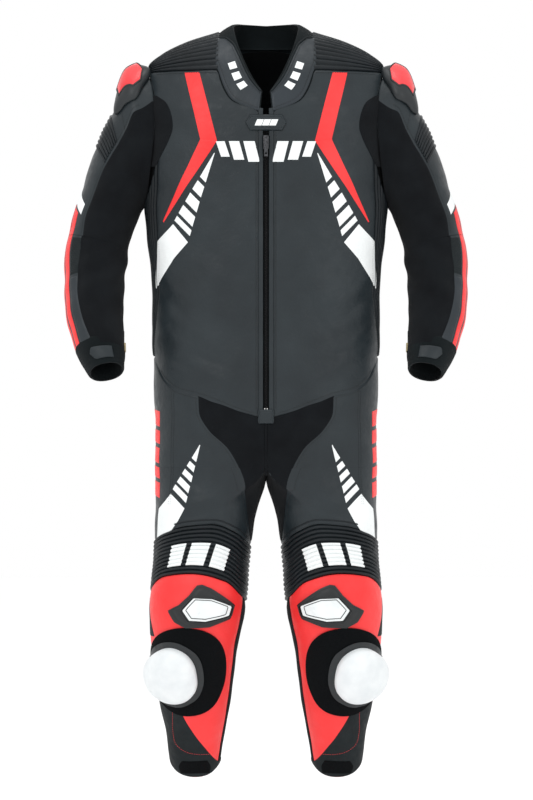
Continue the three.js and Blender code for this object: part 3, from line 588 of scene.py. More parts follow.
@dataclass
class Dresser:
    """Gives a piece its finish and its place in the frame."""

    finishes: dict[str, bpy.types.Material]
    made: int = 0

    def fit(
        self,
        obj: bpy.types.Object,
        finish: str,
        slot: str,
        where: Body | Bend,
        side: int = 1,
        nodes: Sequence[str] = (),
        soft: float | None = None,
    ) -> bpy.types.Object:
        """Dress a piece and tie it to its body; a piece over a joint is only baked in place.

        Args:
            obj: The piece.
            finish: The finish's key.
            slot: The record's material slot; not used.
            where: The body it rides on, or the joint that it lies over.
            side: 1 for the wearer's left and -1 for the right.
            nodes: The plain solids that it stands for.
            soft: How full it is, if it is a padded piece; not used.

        Returns:
            The same piece.
        """
        obj.data.materials.clear()
        obj.data.materials.append(self.finishes[finish])
        word = "left" if side > 0 else "right"
        if isinstance(where, Bend):
            a, b, start, end = where.value
            a.named(word)
            b.named(word)
            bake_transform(obj)
        else:
            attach(obj, where.named(word))
        if nodes:
            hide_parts(*nodes)
        self.made += 1
        log.info("%s: %d faces", obj.name, len(obj.data.polygons))
        return obj


def lifted(surface: Draped, a: Array, b: Array, height: Array | float) -> Array:
    """Points on a surface, pushed out along its normal."""
    height = np.broadcast_to(np.asarray(height, float), np.broadcast(a, b).shape)
    return surface.point(a, b) + surface.normal(a, b) * height[..., None]


def rolled(distance: Array, depth: float, reach: float) -> Array:
    """How far a panel's edge turns down into its seam: depth at the edge, nothing past reach."""
    return -depth * (1 - smooth(0, reach, distance)) ** 1.5


def panel(
    surface: Draped,
    a: Array,
    b: Array,
    *,
    side: int = 1,
    height: Array | float = 0.0,
    wall: float = 2.4,
    roll: tuple[float, float] = (1.5, 4.0),
    closed: bool = False,
    ends: tuple[bool, bool] = (True, True),
) -> Sheets:
    """A sewn panel over a grid of surface pairs, with its edges turned down into the seams.

    Args:
        surface: The surface that it lies on.
        a: First numbers of the grid.
        b: Second numbers of the grid.
        side: 1 or -1.
        height: How far it stands off the surface.
        wall: Its thickness.
        roll: How deep its edges turn down, and over what width.
        closed: Whether it goes all the way round.
        ends: Whether the first and the last row are sewn edges.

    Returns:
        The sheet.
    """
    plain = surface.point(a, b)
    height = np.broadcast_to(np.asarray(height, float), plain.shape[:-1])
    lift = height + rolled(edge_distance(plain, closed, ends), *roll)
    normal = surface.normal(a, b)
    outer = plain + normal * lift[..., None]
    inner = plain + normal * (np.minimum(lift, height) - wall)[..., None]
    return shell(outer, inner, side, closed)


def between(first: Array, second: Array, columns: int) -> Array:
    """A grid of flat points between two lines with the same number of points."""
    t = np.linspace(0, 1, columns)[None, :, None]
    return first[:, None] * (1 - t) + second[:, None] * t


def capsules(
    name: str, middle: Array, along: Array, up: Array, size: tuple[float, float, float], side: int = 1
) -> bpy.types.Object:
    """Many stitches as one mesh: each is a short bar with pointed ends that dip into the leather.

    Args:
        name: The piece's name.
        middle: Each stitch's middle.
        along: Each stitch's direction.
        up: The surface's normal there.
        size: Length, width and height of a stitch.
        side: 1 or -1.

    Returns:
        The piece.
    """
    across = np.cross(along, up)
    length, width, height = size
    shape = np.array(
        [(-0.5, 0, -0.35)]
        + [(x, y, z) for x in (-0.3, 0.3) for y, z in ((-0.5, -0.1), (0, 0.5), (0.5, -0.1), (0, -0.6))]
        + [(0.5, 0, -0.35)]
    )
    offset = (
        shape[None, :, 0, None] * along[:, None] * length
        + shape[None, :, 1, None] * across[:, None] * width
        + shape[None, :, 2, None] * up[:, None] * height
    )
    verts = (middle[:, None] + offset).reshape(-1, 3) * np.array([side, 1, 1])
    ring = [(0, 1, 2, -1), (0, 2, 3, -1), (0, 3, 4, -1), (0, 4, 1, -1)]
    ring += [(1, 5, 6, 2), (2, 6, 7, 3), (3, 7, 8, 4), (4, 8, 5, 1)]
    ring += [(9, 6, 5, -1), (9, 7, 6, -1), (9, 8, 7, -1), (9, 5, 8, -1)]
    one = np.array(ring)
    if side > 0:
        one = np.where(one[:, 3:] < 0, one[:, [0, 2, 1, 3]], one[:, [0, 3, 2, 1]])
    step = np.arange(len(middle))[:, None, None] * 10
    faces = np.where(one[None] < 0, -1, one[None] + step).reshape(-1, 4)
    return new_object(name, verts, faces)


@dataclass(frozen=True)
class Thread:
    """A sewing thread's stitch, as it shows on the leather."""

    length: float = 3.4
    gap: float = 1.3
    width: float = 0.85
    height: float = 0.7

    def sew(
        self,
        name: str,
        surface: Draped,
        lines: Sequence[Array],
        lift: float,
        side: int = 1,
    ) -> bpy.types.Object:
        """Sew along lines of surface pairs, with a stitch every length plus gap."""
        middles, alongs, ups = [], [], []
        for line in lines:
            p = surface.point(line[:, 0], line[:, 1])
            run = np.concatenate([[0], np.cumsum(np.linalg.norm(np.diff(p, axis=0), axis=1))])
            count = max(2, int(run[-1] / (self.length + self.gap)))
            t = (np.arange(count) + 0.5) * run[-1] / count
            a, b = (np.interp(t, run, line[:, k]) for k in (0, 1))
            spot, up = surface.point(a, b), surface.normal(a, b)
            ahead = np.stack([np.interp(t + 1, run, p[:, k]) for k in range(3)], -1)
            behind = np.stack([np.interp(t - 1, run, p[:, k]) for k in range(3)], -1)
            along = ahead - behind
            along -= up * np.sum(along * up, -1, keepdims=True)
            along /= np.maximum(np.linalg.norm(along, axis=-1, keepdims=True), 1e-9)
            middles.append(spot + up * lift)
            alongs.append(along)
            ups.append(up)
        arrays = [np.concatenate(x) for x in (middles, alongs, ups)]
        return capsules(name, *arrays, (self.length, self.width, self.height), side)


def cord_along(
    name: str, path: Array, radius: float, side: int = 1, sides: int = 8, closed: bool = False
) -> bpy.types.Object:
    """A round cord along a line of points, with its ends drawn in to a point.

    Args:
        name: The piece's name.
        path: The centre line.
        radius: The cord's radius.
        side: 1 or -1.
        sides: Sides of its section.
        closed: Whether it joins up.

    Returns:
        The piece.
    """
    d = np.gradient(path, axis=0)
    if closed:
        d = np.roll(path, -1, 0) - np.roll(path, 1, 0)
    d /= np.maximum(np.linalg.norm(d, axis=1, keepdims=True), 1e-9)
    first = np.cross(d, np.array([0.31, 0.87, 0.38]))
    first /= np.maximum(np.linalg.norm(first, axis=1, keepdims=True), 1e-9)
    second = np.cross(d, first)
    angle = np.linspace(0, 2 * math.pi, sides, endpoint=False)
    r = np.full(len(path), radius)
    if not closed:
        r[[0, -1]] = radius * 0.15
    ring = first[:, None] * np.cos(angle)[None, :, None] + second[:, None] * np.sin(angle)[None, :, None]
    verts = (path[:, None] + ring * r[:, None, None]).reshape(-1, 3)
    rows = np.arange(len(path) if closed else len(path) - 1)
    j, i = np.meshgrid(rows, np.arange(sides), indexing="ij")
    k, m = (i + 1) % sides, (j + 1) % len(path)
    faces = np.stack([j * sides + i, j * sides + k, m * sides + k, m * sides + i], -1).reshape(-1, 4)
    if not closed:
        ends = []
        for row, flip in ((0, True), (len(path) - 1, False)):
            number = row * sides + np.arange(sides)
            fan = np.stack(
                [
                    np.full(sides // 2 - 1, number[0]), number[1:-1:2], number[2::2],
                    number[3::2] if sides > 3 else number[2::2],
                ],
                -1,
            )
            ends.append(fan[:, ::-1] if flip else fan)
        faces = np.concatenate([faces, *ends])
    verts = verts * np.array([side, 1, 1])
    a, b, c, e = (verts[faces[:, k]] for k in range(4))
    volume = np.einsum("ij,ij->", a, np.cross(b, c)) + np.einsum("ij,ij->", a, np.cross(c, e))
    return new_object(name, verts, faces if volume > 0 else faces[:, ::-1])


# ---- Finishes ----------------------------------------------------------------------------
def to_linear(code: str) -> tuple[float, float, float, float]:
    """A colour from its sRGB hex code, in linear light."""
    parts = [int(code[i : i + 2], 16) / 255 for i in (1, 3, 5)]
    return (*[c / 12.92 if c <= 0.04045 else ((c + 0.055) / 1.055) ** 2.4 for c in parts], 1.0)


class Graph:
    """A material's node tree, with one helper that adds a node."""

    def __init__(self, name: str) -> None:
        """Start from an empty tree with a Principled shader in it."""
        self.material = bpy.data.materials.new(name)
        self.material.use_nodes = True
        self.tree = self.material.node_tree
        self.tree.nodes.clear()
        self.shader = self.add("ShaderNodeBsdfPrincipled")
        self.add("ShaderNodeOutputMaterial", {"Surface": (self.shader, "BSDF")})
        self.place = self.add("ShaderNodeTexCoord")

    def add(self, kind: str, links: dict | None = None, **settings: object) -> bpy.types.Node:
        """Add a node.

        Args:
            kind: The node's type.
            links: For each input its value, or a (node, output) pair that feeds it.
            settings: The node's own properties.

        Returns:
            The node.
        """
        node = self.tree.nodes.new(kind)
        for key, value in settings.items():
            setattr(node, key, value)
        for key, value in (links or {}).items():
            socket = node.inputs[key]
            if isinstance(value, tuple) and isinstance(value[0], bpy.types.Node):
                self.tree.links.new(value[0].outputs[value[1]], socket)
            else:
                socket.default_value = value
        return node

    def noise(self, size_mm: float, detail: float = 3.0, source: tuple | None = None) -> bpy.types.Node:
        """Soft noise whose lumps are about size_mm across."""
        return self.add(
            "ShaderNodeTexNoise",
            {"Vector": source or (self.place, "Object"), "Scale": 1000 / size_mm, "Detail": detail},
        )

    def ramp(self, source: tuple, low: float, high: float, start: float = 0.35, end: float = 0.65) -> tuple:
        """Carry source's range from start to end over to low to high."""
        node = self.add(
            "ShaderNodeMapRange",
            {"Value": source, "From Min": start, "From Max": end, "To Min": low, "To Max": high},
        )
        return (node, "Result")

    def blend_colours(self, share: tuple, first: str, second: str) -> tuple:
        """Mix two colours by share."""
        node = self.add(
            "ShaderNodeMix",
            {0: share, 6: to_linear(first), 7: to_linear(second)},
            data_type="RGBA",
        )
        return (node, 2)

    def relief(
        self, source: tuple, height_mm: float, under: tuple | None = None, strength: float = 1.0
    ) -> tuple:
        """Bump of the given height, on top of another bump."""
        links = {"Height": source, "Distance": height_mm * MM, "Strength": strength}
        if under:
            links["Normal"] = under
        return (self.add("ShaderNodeBump", links), "Normal")

    def close(
        self, colour: tuple | str, rough: tuple | float, normal: tuple | None, **sockets: float
    ) -> bpy.types.Material:
        """Feed the shader and hand over the material."""
        for name, value in (("Base Color", colour), ("Roughness", rough), ("Normal", normal)):
            if isinstance(value, tuple):
                self.tree.links.new(value[0].outputs[value[1]], self.shader.inputs[name])
            elif value is not None:
                self.shader.inputs[name].default_value = to_linear(value) if isinstance(value, str) else value
        for name, value in sockets.items():
            self.shader.inputs[name.replace("_", " ")].default_value = value
        self.material.diffuse_color = to_linear(colour) if isinstance(colour, str) else (0.1, 0.1, 0.1, 1)
        return self.material


@dataclass(frozen=True)
class Leather:
    """Cowhide, drum dyed and finished with a thin pigment coat.

    It shows a pebbled grain with cells about 1.4 mm wide, drawn a little coarser than life so
    that it can be seen, slow shade changes, and a soft shine that is broken by the grain.
    """

    name: str
    colour: str
    lighter: str
    grain_mm: float = 1.7
    rough: tuple[float, float] = (0.36, 0.50)
    coat: float = 0.0
    shine: float = 0.32

    def material(self) -> bpy.types.Material:
        """Build the node tree."""
        g = Graph(self.name)
        slow = g.noise(90, 4)
        fine = g.noise(14, 5)
        grain = g.add(
            "ShaderNodeTexVoronoi",
            {"Vector": (g.place, "Object"), "Scale": 1000 / self.grain_mm},
            feature="SMOOTH_F1",
        )
        crease = g.noise(6, 6)
        colour = g.blend_colours(g.ramp((slow, "Fac"), 0, 1, 0.3, 0.7), self.colour, self.lighter)
        normal = g.relief((grain, "Distance"), 0.10)
        normal = g.relief((crease, "Fac"), 0.35, normal)
        normal = g.relief((fine, "Fac"), 0.9, normal)
        rough = g.ramp((fine, "Fac"), self.rough[0], self.rough[1])
        return g.close(
            colour, rough, normal, Coat_Weight=self.coat, Coat_Roughness=0.35, Specular_IOR_Level=self.shine
        )


@dataclass(frozen=True)
class Knit:
    """Aramid stretch knit: fine wales across a dull thread, drawn 1.5 mm apart, with a faint fuzz."""

    name: str
    colour: str
    lighter: str
    pitch_mm: float = 1.5

    def material(self) -> bpy.types.Material:
        """Build the node tree on the piece's own flat coordinates."""
        g = Graph(self.name)
        flat = g.add("ShaderNodeUVMap", uv_map="cloth")
        turns = 1000 / self.pitch_mm / (2 * math.pi) * 3.14
        wales = g.add(
            "ShaderNodeTexWave",
            {"Vector": (flat, "UV"), "Scale": turns, "Distortion": 0.6, "Detail": 1.0},
            bands_direction="X",
        )
        rows = g.add(
            "ShaderNodeTexWave",
            {"Vector": (flat, "UV"), "Scale": turns * 0.8, "Distortion": 0.8, "Detail": 1.0},
            bands_direction="Y",
        )
        slow = g.noise(50, 4)
        fuzz = g.noise(0.9, 2)
        weave = g.add("ShaderNodeMath", {0: (wales, "Fac"), 1: (rows, "Fac")}, operation="MULTIPLY")
        colour = g.blend_colours(g.ramp((slow, "Fac"), 0, 1, 0.3, 0.7), self.colour, self.lighter)
        normal = g.relief((weave, "Value"), 0.30)
        normal = g.relief((fuzz, "Fac"), 0.12, normal)
        return g.close(
            colour, 0.95, normal, Sheen_Weight=0.03, Sheen_Roughness=0.6, Specular_IOR_Level=0.08
        )


@dataclass(frozen=True)
class Moulded:
    """Injection-moulded thermoplastic or rubber: an even colour with a fine spark-eroded texture."""

    name: str
    colour: str
    lighter: str
    rough: float = 0.38
    grit_mm: float = 0.8
    depth_mm: float = 0.05
    coat: float = 0.0

    def material(self) -> bpy.types.Material:
        """Build the node tree."""
        g = Graph(self.name)
        slow, grit = g.noise(30, 3), g.noise(self.grit_mm, 2)
        colour = g.blend_colours(g.ramp((slow, "Fac"), 0, 1, 0.3, 0.7), self.colour, self.lighter)
        rough = g.ramp((slow, "Fac"), self.rough - 0.05, self.rough + 0.08)
        return g.close(colour, rough, g.relief((grit, "Fac"), self.depth_mm), Coat_Weight=self.coat)


@dataclass(frozen=True)
class Fuzzy:
    """Brushed nylon loop or hook tape: deep matt black with a tangle about 0.9 mm across."""

    name: str
    colour: str
    lighter: str
    size_mm: float = 1.1

    def material(self) -> bpy.types.Material:
        """Build the node tree."""
        g = Graph(self.name)
        tangle = g.noise(self.size_mm, 5)
        colour = g.blend_colours(g.ramp((tangle, "Fac"), 0, 1), self.colour, self.lighter)
        return g.close(
            colour, 1.0, g.relief((tangle, "Fac"), 0.5), Sheen_Weight=0.02, Specular_IOR_Level=0.05
        )


@dataclass(frozen=True)
class Metal:
    """Die-cast zinc with an aged brass plating: warm grey, with scuffs that catch the light."""

    name: str
    colour: str
    lighter: str
    rough: float = 0.34

    def material(self) -> bpy.types.Material:
        """Build the node tree."""
        g = Graph(self.name)
        scuff = g.noise(2.2, 5)
        colour = g.blend_colours(g.ramp((scuff, "Fac"), 0, 1), self.colour, self.lighter)
        rough = g.ramp((scuff, "Fac"), self.rough - 0.08, self.rough + 0.15)
        return g.close(colour, rough, g.relief((scuff, "Fac"), 0.03), Metallic=0.9)


FINISHES = {
    "black": Leather("cowhide_drum_dyed_black", "#1b2226", "#232b2f"),
    "grey": Leather("cowhide_drum_dyed_slate", "#20272b", "#282f35"),
    "ribs": Leather("cowhide_ribbed_black", "#12171a", "#191f23", rough=(0.40, 0.55), shine=0.24),
    "red": Leather("cowhide_pigmented_red", "#f02a2b", "#f63a3a", rough=(0.4, 0.5), shine=0.4),
    "white": Leather("cowhide_pigmented_white", "#e9eded", "#f1f4f4", rough=(0.42, 0.55), shine=0.3),
    "dull_black": Leather("cowhide_suede_black", "#171c1e", "#1e2426", rough=(0.6, 0.75), shine=0.16),
    "knit": Knit("aramid_stretch_knit", "#0e1013", "#15181b"),
    "neoprene": Knit("neoprene_knit_faced", "#0f1416", "#161c1e", pitch_mm=2.0),
    "lining": Knit("mesh_lining_black", "#050709", "#080b0d", pitch_mm=3.0),
    "hook": Fuzzy("hook_tape_nylon", "#08090a", "#121416"),
    "thread": Moulded("bonded_nylon_thread_black", "#0c1012", "#14191b", rough=0.6, grit_mm=0.5),
    "thread_red": Moulded("bonded_nylon_thread_red", "#c42224", "#e0383a", rough=0.55, grit_mm=0.5),
    "cup": Moulded("tpu_moulded_black", "#12171a", "#1a2023", rough=0.4),
    "cup_red": Moulded("tpu_moulded_red", "#e12d33", "#ee3f44", rough=0.34, coat=0.1),
    "badge": Moulded("rubber_moulded_black", "#0c1012", "#13181a", rough=0.42),
    "badge_white": Moulded("tpu_moulded_white", "#e2e7e8", "#eef2f2", rough=0.32, coat=0.1),
    "puck": Moulded("polyurethane_cast_white", "#dde2e4", "#e9edee", rough=0.4, coat=0.05),
    "foam": Moulded("armour_foam_grey", "#4a4d51", "#5b5f63", rough=0.9, grit_mm=1.6, depth_mm=0.3),
    "tape": Knit("zip_tape_woven_black", "#060708", "#0a0c0e", pitch_mm=1.6),
    "teeth": Metal("zip_teeth_black_nickel", "#1b1b1c", "#2b2b2c"),
    "pull": Metal("zip_slider_black_nickel", "#3a3b3d", "#56575a"),
    "metal": Metal("zip_slider_antique_brass", "#8b7f62", "#a5997a"),
}


# ---- Working helpers ---------------------------------------------------------------------
def grid(rows: int, columns: int, closed: bool = False) -> tuple[Array, Array]:
    """Two arrays that run from 0 to 1: p along the columns and q along the rows."""
    p = np.linspace(0, 1, columns, endpoint=not closed)
    return tuple(np.meshgrid(p, np.linspace(0, 1, rows)))


def mix(a: Array | float, b: Array | float, t: Array) -> Array:
    """The value t of the way from a to b."""
    return a + (b - a) * t


def ribbed(phase: Array, height: float) -> Array:
    """Sewn ribs: round tops with sharp valleys, one for each whole number of phase."""
    return height * (np.abs(np.sin(math.pi * phase)) ** 0.7 - 0.45)


def inlay(
    surface: Draped,
    first: Sequence[Sequence[float]],
    second: Sequence[Sequence[float]],
    guess: tuple[float, float],
    *,
    side: int = 1,
    size: tuple[int, int] = (40, 12),
    height: float | Callable[[Array, Array], Array] = 0.5,
    wall: float = 1.1,
    curved: bool = False,
) -> Sheets:
    """A thin shape sewn on a surface, ruled between two lines that are seen from the front.

    Args:
        surface: The surface.
        first: Corners of one edge, as (x, z).
        second: Corners of the other edge, running the same way.
        guess: A pair near the shape.
        side: 1 or -1.
        size: Rows and columns.
        height: How far it stands off the surface, or a function of the surface pair.
        wall: Its thickness.
        curved: Whether its edges are rounded through their corners.

    Returns:
        The sheet.
    """
    q = between(polyline(first, size[0], curved), polyline(second, size[0], curved), size[1])
    a, b = surface.locate(q[..., 0], q[..., 1], guess)
    lift = height(a, b) if callable(height) else height
    return panel(surface, a, b, side=side, height=lift, wall=wall, roll=(0.5, 1.6))


def disc(
    surface: Draped,
    middle: tuple[float, float],
    outline: Callable[[Array], tuple[Array, Array]],
    outer: Callable[[Array, Array], Array],
    inner: float,
    *,
    side: int = 1,
    rings: int = 24,
    around: int = 96,
) -> Sheets:
    """A pad on a surface, from its middle out to an outline.

    Args:
        surface: The surface.
        middle: Its middle.
        outline: Gives the edge's surface pair for a turn in degrees.
        outer: Gives the outside's height for r, 0 in the middle and 1 at the edge, and turn.
        inner: The underside's height.
        side: 1 or -1.
        rings: Rings of faces.
        around: Faces in a ring.

    Returns:
        The closed pad.
    """
    turn = np.arange(around) * 360 / around
    r = np.linspace(0, 1, rings + 1)[1:] ** 0.8
    edge_a, edge_b = outline(turn)
    r2, turn2 = np.meshgrid(r, turn, indexing="ij")
    a, b = mix(middle[0], edge_a[None], r2), mix(middle[1], edge_b[None], r2)
    layers = []
    for lift, centre in (
        (outer(r2, turn2), outer(np.zeros((1, 1)), np.zeros((1, 1)))),
        (inner + 0 * r2, np.full((1, 1), inner)),
    ):
        pole = lifted(surface, np.full((1, 1), middle[0]), np.full((1, 1), middle[1]), centre)
        layers.append(np.concatenate([pole.reshape(1, 3), lifted(surface, a, b, lift).reshape(-1, 3)]))
    n = len(layers[0])
    quads = grid_quads(rings, around, True) + 1
    i = np.arange(around)
    fan = np.stack([0 * i, 1 + i, 1 + (i + 1) % around, 0 * i - 1], -1)
    top = np.concatenate([quads[:, ::-1], fan])
    low = np.concatenate([quads + n, np.where(fan < 0, -1, fan[:, [0, 2, 1, 3]] + n)])
    last = 1 + (rings - 1) * around + i
    rim = np.stack([last, np.roll(last, -1), np.roll(last, -1) + n, last + n], -1)[:, ::-1]
    verts, faces = np.concatenate(layers), np.concatenate([top, low, rim])
    x, y, z, w = (verts[faces[:, k]] for k in range(4))
    w = np.where(faces[:, 3:] < 0, z, w)
    volume = np.einsum("ij,ij->", x, np.cross(y, z)) + np.einsum("ij,ij->", x, np.cross(z, w))
    if volume * side < 0:
        faces = np.where(faces[:, 3:] < 0, faces[:, [0, 2, 1, 3]], faces[:, ::-1])
    flat = np.stack([np.cos(np.radians(turn2)) * r2, np.sin(np.radians(turn2)) * r2], -1).reshape(-1, 2) * 50
    uv = np.concatenate([np.zeros((1, 2)), flat] * 2)
    return Sheets(verts * np.array([side, 1, 1]), faces, uv)


def degrees_per_mm(surface: Draped, a: float, b: float) -> float:
    """How many degrees of the first number make a millimetre at (a, b)."""
    ends = surface.base(np.array([a - 1.0, a + 1.0]), np.array([b, b]))
    return 2 / float(np.linalg.norm(ends[1] - ends[0]))


def polygon_edge(
    surface: Draped, middle: tuple[float, float], corners: Array, along: float = 1.0
) -> Callable[[Array], tuple[Array, Array]]:
    """An outline through corner points round a middle.

    Args:
        surface: The surface.
        middle: The surface pair that the corners are measured from.
        corners: Millimetres against the first number and with the second, in turning order.
        along: How much of the second number makes a millimetre.

    Returns:
        A function that gives the edge's surface pair where a ray at some turn meets the outline.
    """
    degree = degrees_per_mm(surface, *middle)
    ring = np.concatenate([corners, corners[:1]])
    start, step = ring[:-1], np.diff(ring, axis=0)

    def edge(turn: Array) -> tuple[Array, Array]:
        """The edge's surface pair at a turn."""
        t = np.radians(turn)
        ray = np.stack([np.cos(t), np.sin(t)], -1)
        bottom = ray[:, None, 0] * step[None, :, 1] - ray[:, None, 1] * step[None, :, 0]
        bottom = np.where(np.abs(bottom) < 1e-9, 1e-9, bottom)
        reach = (start[None, :, 0] * step[None, :, 1] - start[None, :, 1] * step[None, :, 0]) / bottom
        share = (start[None, :, 0] * ray[:, None, 1] - start[None, :, 1] * ray[:, None, 0]) / bottom
        good = (reach > 0) & (share >= -1e-6) & (share <= 1 + 1e-6)
        far = np.max(np.where(good, reach, 0), 1)
        return middle[0] - ray[:, 0] * far * degree, middle[1] + ray[:, 1] * far * along

    return edge


def ladder(
    outer: tuple[tuple[float, float], tuple[float, float]],
    inner: tuple[tuple[float, float], tuple[float, float]],
    rungs: Sequence[tuple[float, float]],
) -> list[tuple[list, list]]:
    """The edge lines of a ladder's rungs, each from one share of the two rails to another."""
    lines = []
    for low, high in rungs:
        pair = []
        for rail in (outer, inner):
            start, end = np.array(rail[0], float), np.array(rail[1], float)
            pair.append([tuple(start + (end - start) * low), tuple(start + (end - start) * high)])
        lines.append((pair[0], pair[1]))
    return lines


class Yoke(Draped):
    """The top of the shoulder: sideways distance, then a turn from the front seam over to the back."""

    step = (0.5, 0.5)
    ridge = Curve((92, 2), (158, -20), (204, -43), (232, -67), (239, -90))

    def base(self, a: Array, b: Array) -> Array:
        """The torso's surface, where height rises as the sine of the turn up to the ridge."""
        top = self.ridge(a)
        back = np.where(a < 88, -16, mix(-18, -92, np.clip((a - 88) / 148, 0, 1))) + 1
        low = np.where(b < 90, -81.2, back)
        z = mix(low, top, np.sin(np.radians(b)))
        angle = TORSO.angle(a, np.minimum(z, top - 0.01))
        y = TORSO.base(np.where(b < 90, angle, 180 - angle), z)[..., 1]
        return np.stack([a + 0 * b, y, z], -1)


YOKE = Yoke()


# ---- Torso -------------------------------------------------------------------------------
@dataclass
class TorsoShell:
    """The leather body above the waist: fronts, flanks, back, yokes, lining and inlays."""

    dress: Dresser
    slot_half: float = 5.6
    placket: float = 15.5
    yoke_front: float = -82.0
    chest: float = -200.0

    neck_front = Curve((0, -160), (25, -155), (53, -139), (71, -113), (82, -86), (88, -60))
    front_side = Curve(
        (-800, 80), (-650, 80), (-560, 72), (-420, 63), (-338, 60.5), (-250, 59), (-200, 59),
        (-140, 62), (-90, 70), (-60, 74),
    )
    back_side = Curve(
        (-800, 98), (-650, 98), (-560, 108), (-420, 117), (-338, 119.5), (-250, 121),
        (-200, 121), (-140, 118), (-90, 111), (-60, 108),
    )

    def build(self) -> None:
        """Make both halves and what lies across the middle."""
        for side, word in SIDES:
            self.front(side, word)
            self.flank(side, word)
            self.yoke(side, word)
            self.inlays(side, word)
        self.back()
        self.lining()

    def top(self, x: Array) -> Array:
        """The front panel's upper edge over distance x: the neckline, then the yoke seam."""
        return np.where(x < 88, np.minimum(self.neck_front(x), self.yoke_front), self.yoke_front) - 0.2

    def front_grid(self, start: float, end: Array | None, rows: int, columns: int) -> tuple[Array, Array]:
        """Surface pairs of the front panel from distance start to its rear edge or to distance end."""
        p, q = grid(rows, columns)
        zero = TORSO.angle(start, self.chest)
        one = self.front_side(self.chest) if end is None else TORSO.angle(end, self.chest)
        x = TORSO.base(mix(zero, one, p), self.chest + 0 * p)[..., 0]
        z = mix(self.top(x), waist_height(x) + 0.5, q)
        last = self.front_side(z) if end is None else TORSO.angle(end, z)
        return mix(TORSO.angle(start, z), last, p), z

    def front(self, side: int, word: str) -> None:
        """The main front panel and the zip placket's strip beside the teeth."""
        a, b = self.front_grid(self.placket, None, 170, 74)
        obj = panel(TORSO, a, b, side=side, height=-0.3).make(f"front_leather_{word}")
        self.dress.fit(obj, "black", "leather_black", Body.TORSO, side, (f"front_panel_{word}",))
        a, b = self.front_grid(self.slot_half, self.placket - 0.6, 200, 10)
        obj = panel(TORSO, a, b, side=side, height=0.5, roll=(1.2, 2.2)).make(f"zip_placket_{word}")
        self.dress.fit(obj, "black", "leather_black", Body.TORSO, side)
        lines = []
        for x in (self.placket - 3.2, self.placket + 3.6):
            z = np.linspace(-172, -742, 260)
            lines.append(np.stack([TORSO.angle(x, z), z], -1))
        z = np.linspace(-86, -636, 200)
        lines.append(np.stack([self.front_side(z) - 2.0, z], -1))
        x = np.linspace(96, 214, 90)
        lines.append(np.stack([TORSO.angle(x, np.full(90, -87.0)), np.full(90, -87.0)], -1))
        x = np.linspace(22, 206, 140)
        z = waist_height(x) + 5.0
        lines.append(np.stack([TORSO.angle(x, z), z], -1))
        obj = Thread().sew(f"front_stitching_{word}", TORSO, lines, 0.35, side)
        self.dress.fit(obj, "thread", "leather_black", Body.TORSO, side)

    def flank(self, side: int, word: str) -> None:
        """The ribbed stretch panel under the arm, with its ribs running down."""
        p, q = grid(90, 120)
        angle = mix(self.front_side(-300), self.back_side(-300), p)
        share = np.clip(np.abs(TORSO.base(angle, -338 + 0 * p)[..., 1] - BODY_Y) / 79, 0, 1)
        z = mix(-202 - 145 * np.sqrt(1 - share**2), -638.5, q)
        a = mix(self.front_side(z) + 0.5, self.back_side(z) - 0.5, p)
        obj = panel(TORSO, a, z, side=side, height=ribbed(p * 15, 3.0) - 0.8).make(f"flank_ribs_{word}")
        self.dress.fit(obj, "ribs", "ribbed_leather", Body.TORSO, side, (f"side_panel_{word}",))

    def yoke(self, side: int, word: str) -> None:
        """The ribbed shoulder top, with its ribs running from the neck to the arm."""
        p, q = grid(230, 40)
        x, turn = mix(90, 233, p), 180 * q
        length = np.linalg.norm(np.diff(YOKE.base(x, turn), axis=0), axis=-1).mean(1)
        arc = np.concatenate([[0], np.cumsum(length)]) / length.sum()
        even = np.interp(np.linspace(0, 1, len(arc)), arc, q[:, 0])
        turn = np.broadcast_to((180 * even)[:, None], p.shape)
        phase = np.linspace(0, 22, len(arc))[:, None]
        fade = smooth(0, 0.03, p) * smooth(1, 0.97, p)
        lift = ribbed(phase + 0 * p, 4.4) * fade
        obj = panel(YOKE, x, turn, side=side, height=lift, roll=(1.5, 3)).make(f"shoulder_ribs_{word}")
        self.dress.fit(obj, "ribs", "ribbed_leather", Body.TORSO, side, (f"shoulder_yoke_{word}",))

    def back(self) -> None:
        """The back in one panel, with a stitched spine line on either side of the hump's place."""
        p, q = grid(110, 110)
        share = 2 * p - 1
        top = np.full(p.shape, -16.0)
        for _ in range(12):
            x = np.abs(TORSO.base(180 - share * (180 - self.back_side(top)), top)[..., 0])
            top = np.where(x < 88, -16, mix(-18, -92, np.clip((x - 88) / 148, 0, 1)))
        low = mix(-600, -640, (np.abs(np.sin(np.radians(180 - np.abs(share) * 82))) ** 0.8) ** 1.5) + 0.5
        z = mix(top, low, q)
        a = 180 - share * (180 - self.back_side(z))
        obj = panel(TORSO, a, z).make("back_leather")
        self.dress.fit(obj, "black", "leather_black", Body.TORSO, 1, ("back_panel",))
        for side, word in SIDES:
            z = np.linspace(-96, -598, 200)
            lines = [np.stack([self.back_side(z) + 2.0, z], -1)]
            z = np.linspace(-350, -590, 100)
            lines += [np.stack([0 * z + angle, z], -1) for angle in (160, 163)]
            obj = Thread().sew(f"back_stitching_{word}", TORSO, lines, 0.5, side)
            self.dress.fit(obj, "thread", "leather_black", Body.TORSO, side)
            p, q = grid(150, 30)
            ribs = panel(
                TORSO, mix(132, 158, p), mix(-470, -590, q), side=side, height=ribbed(q * 13, 2.2) + 1.2,
                wall=2.0,
            )
            self.dress.fit(ribs.make(f"lumbar_ribs_{word}"), "ribs", "ribbed_leather", Body.TORSO, side)

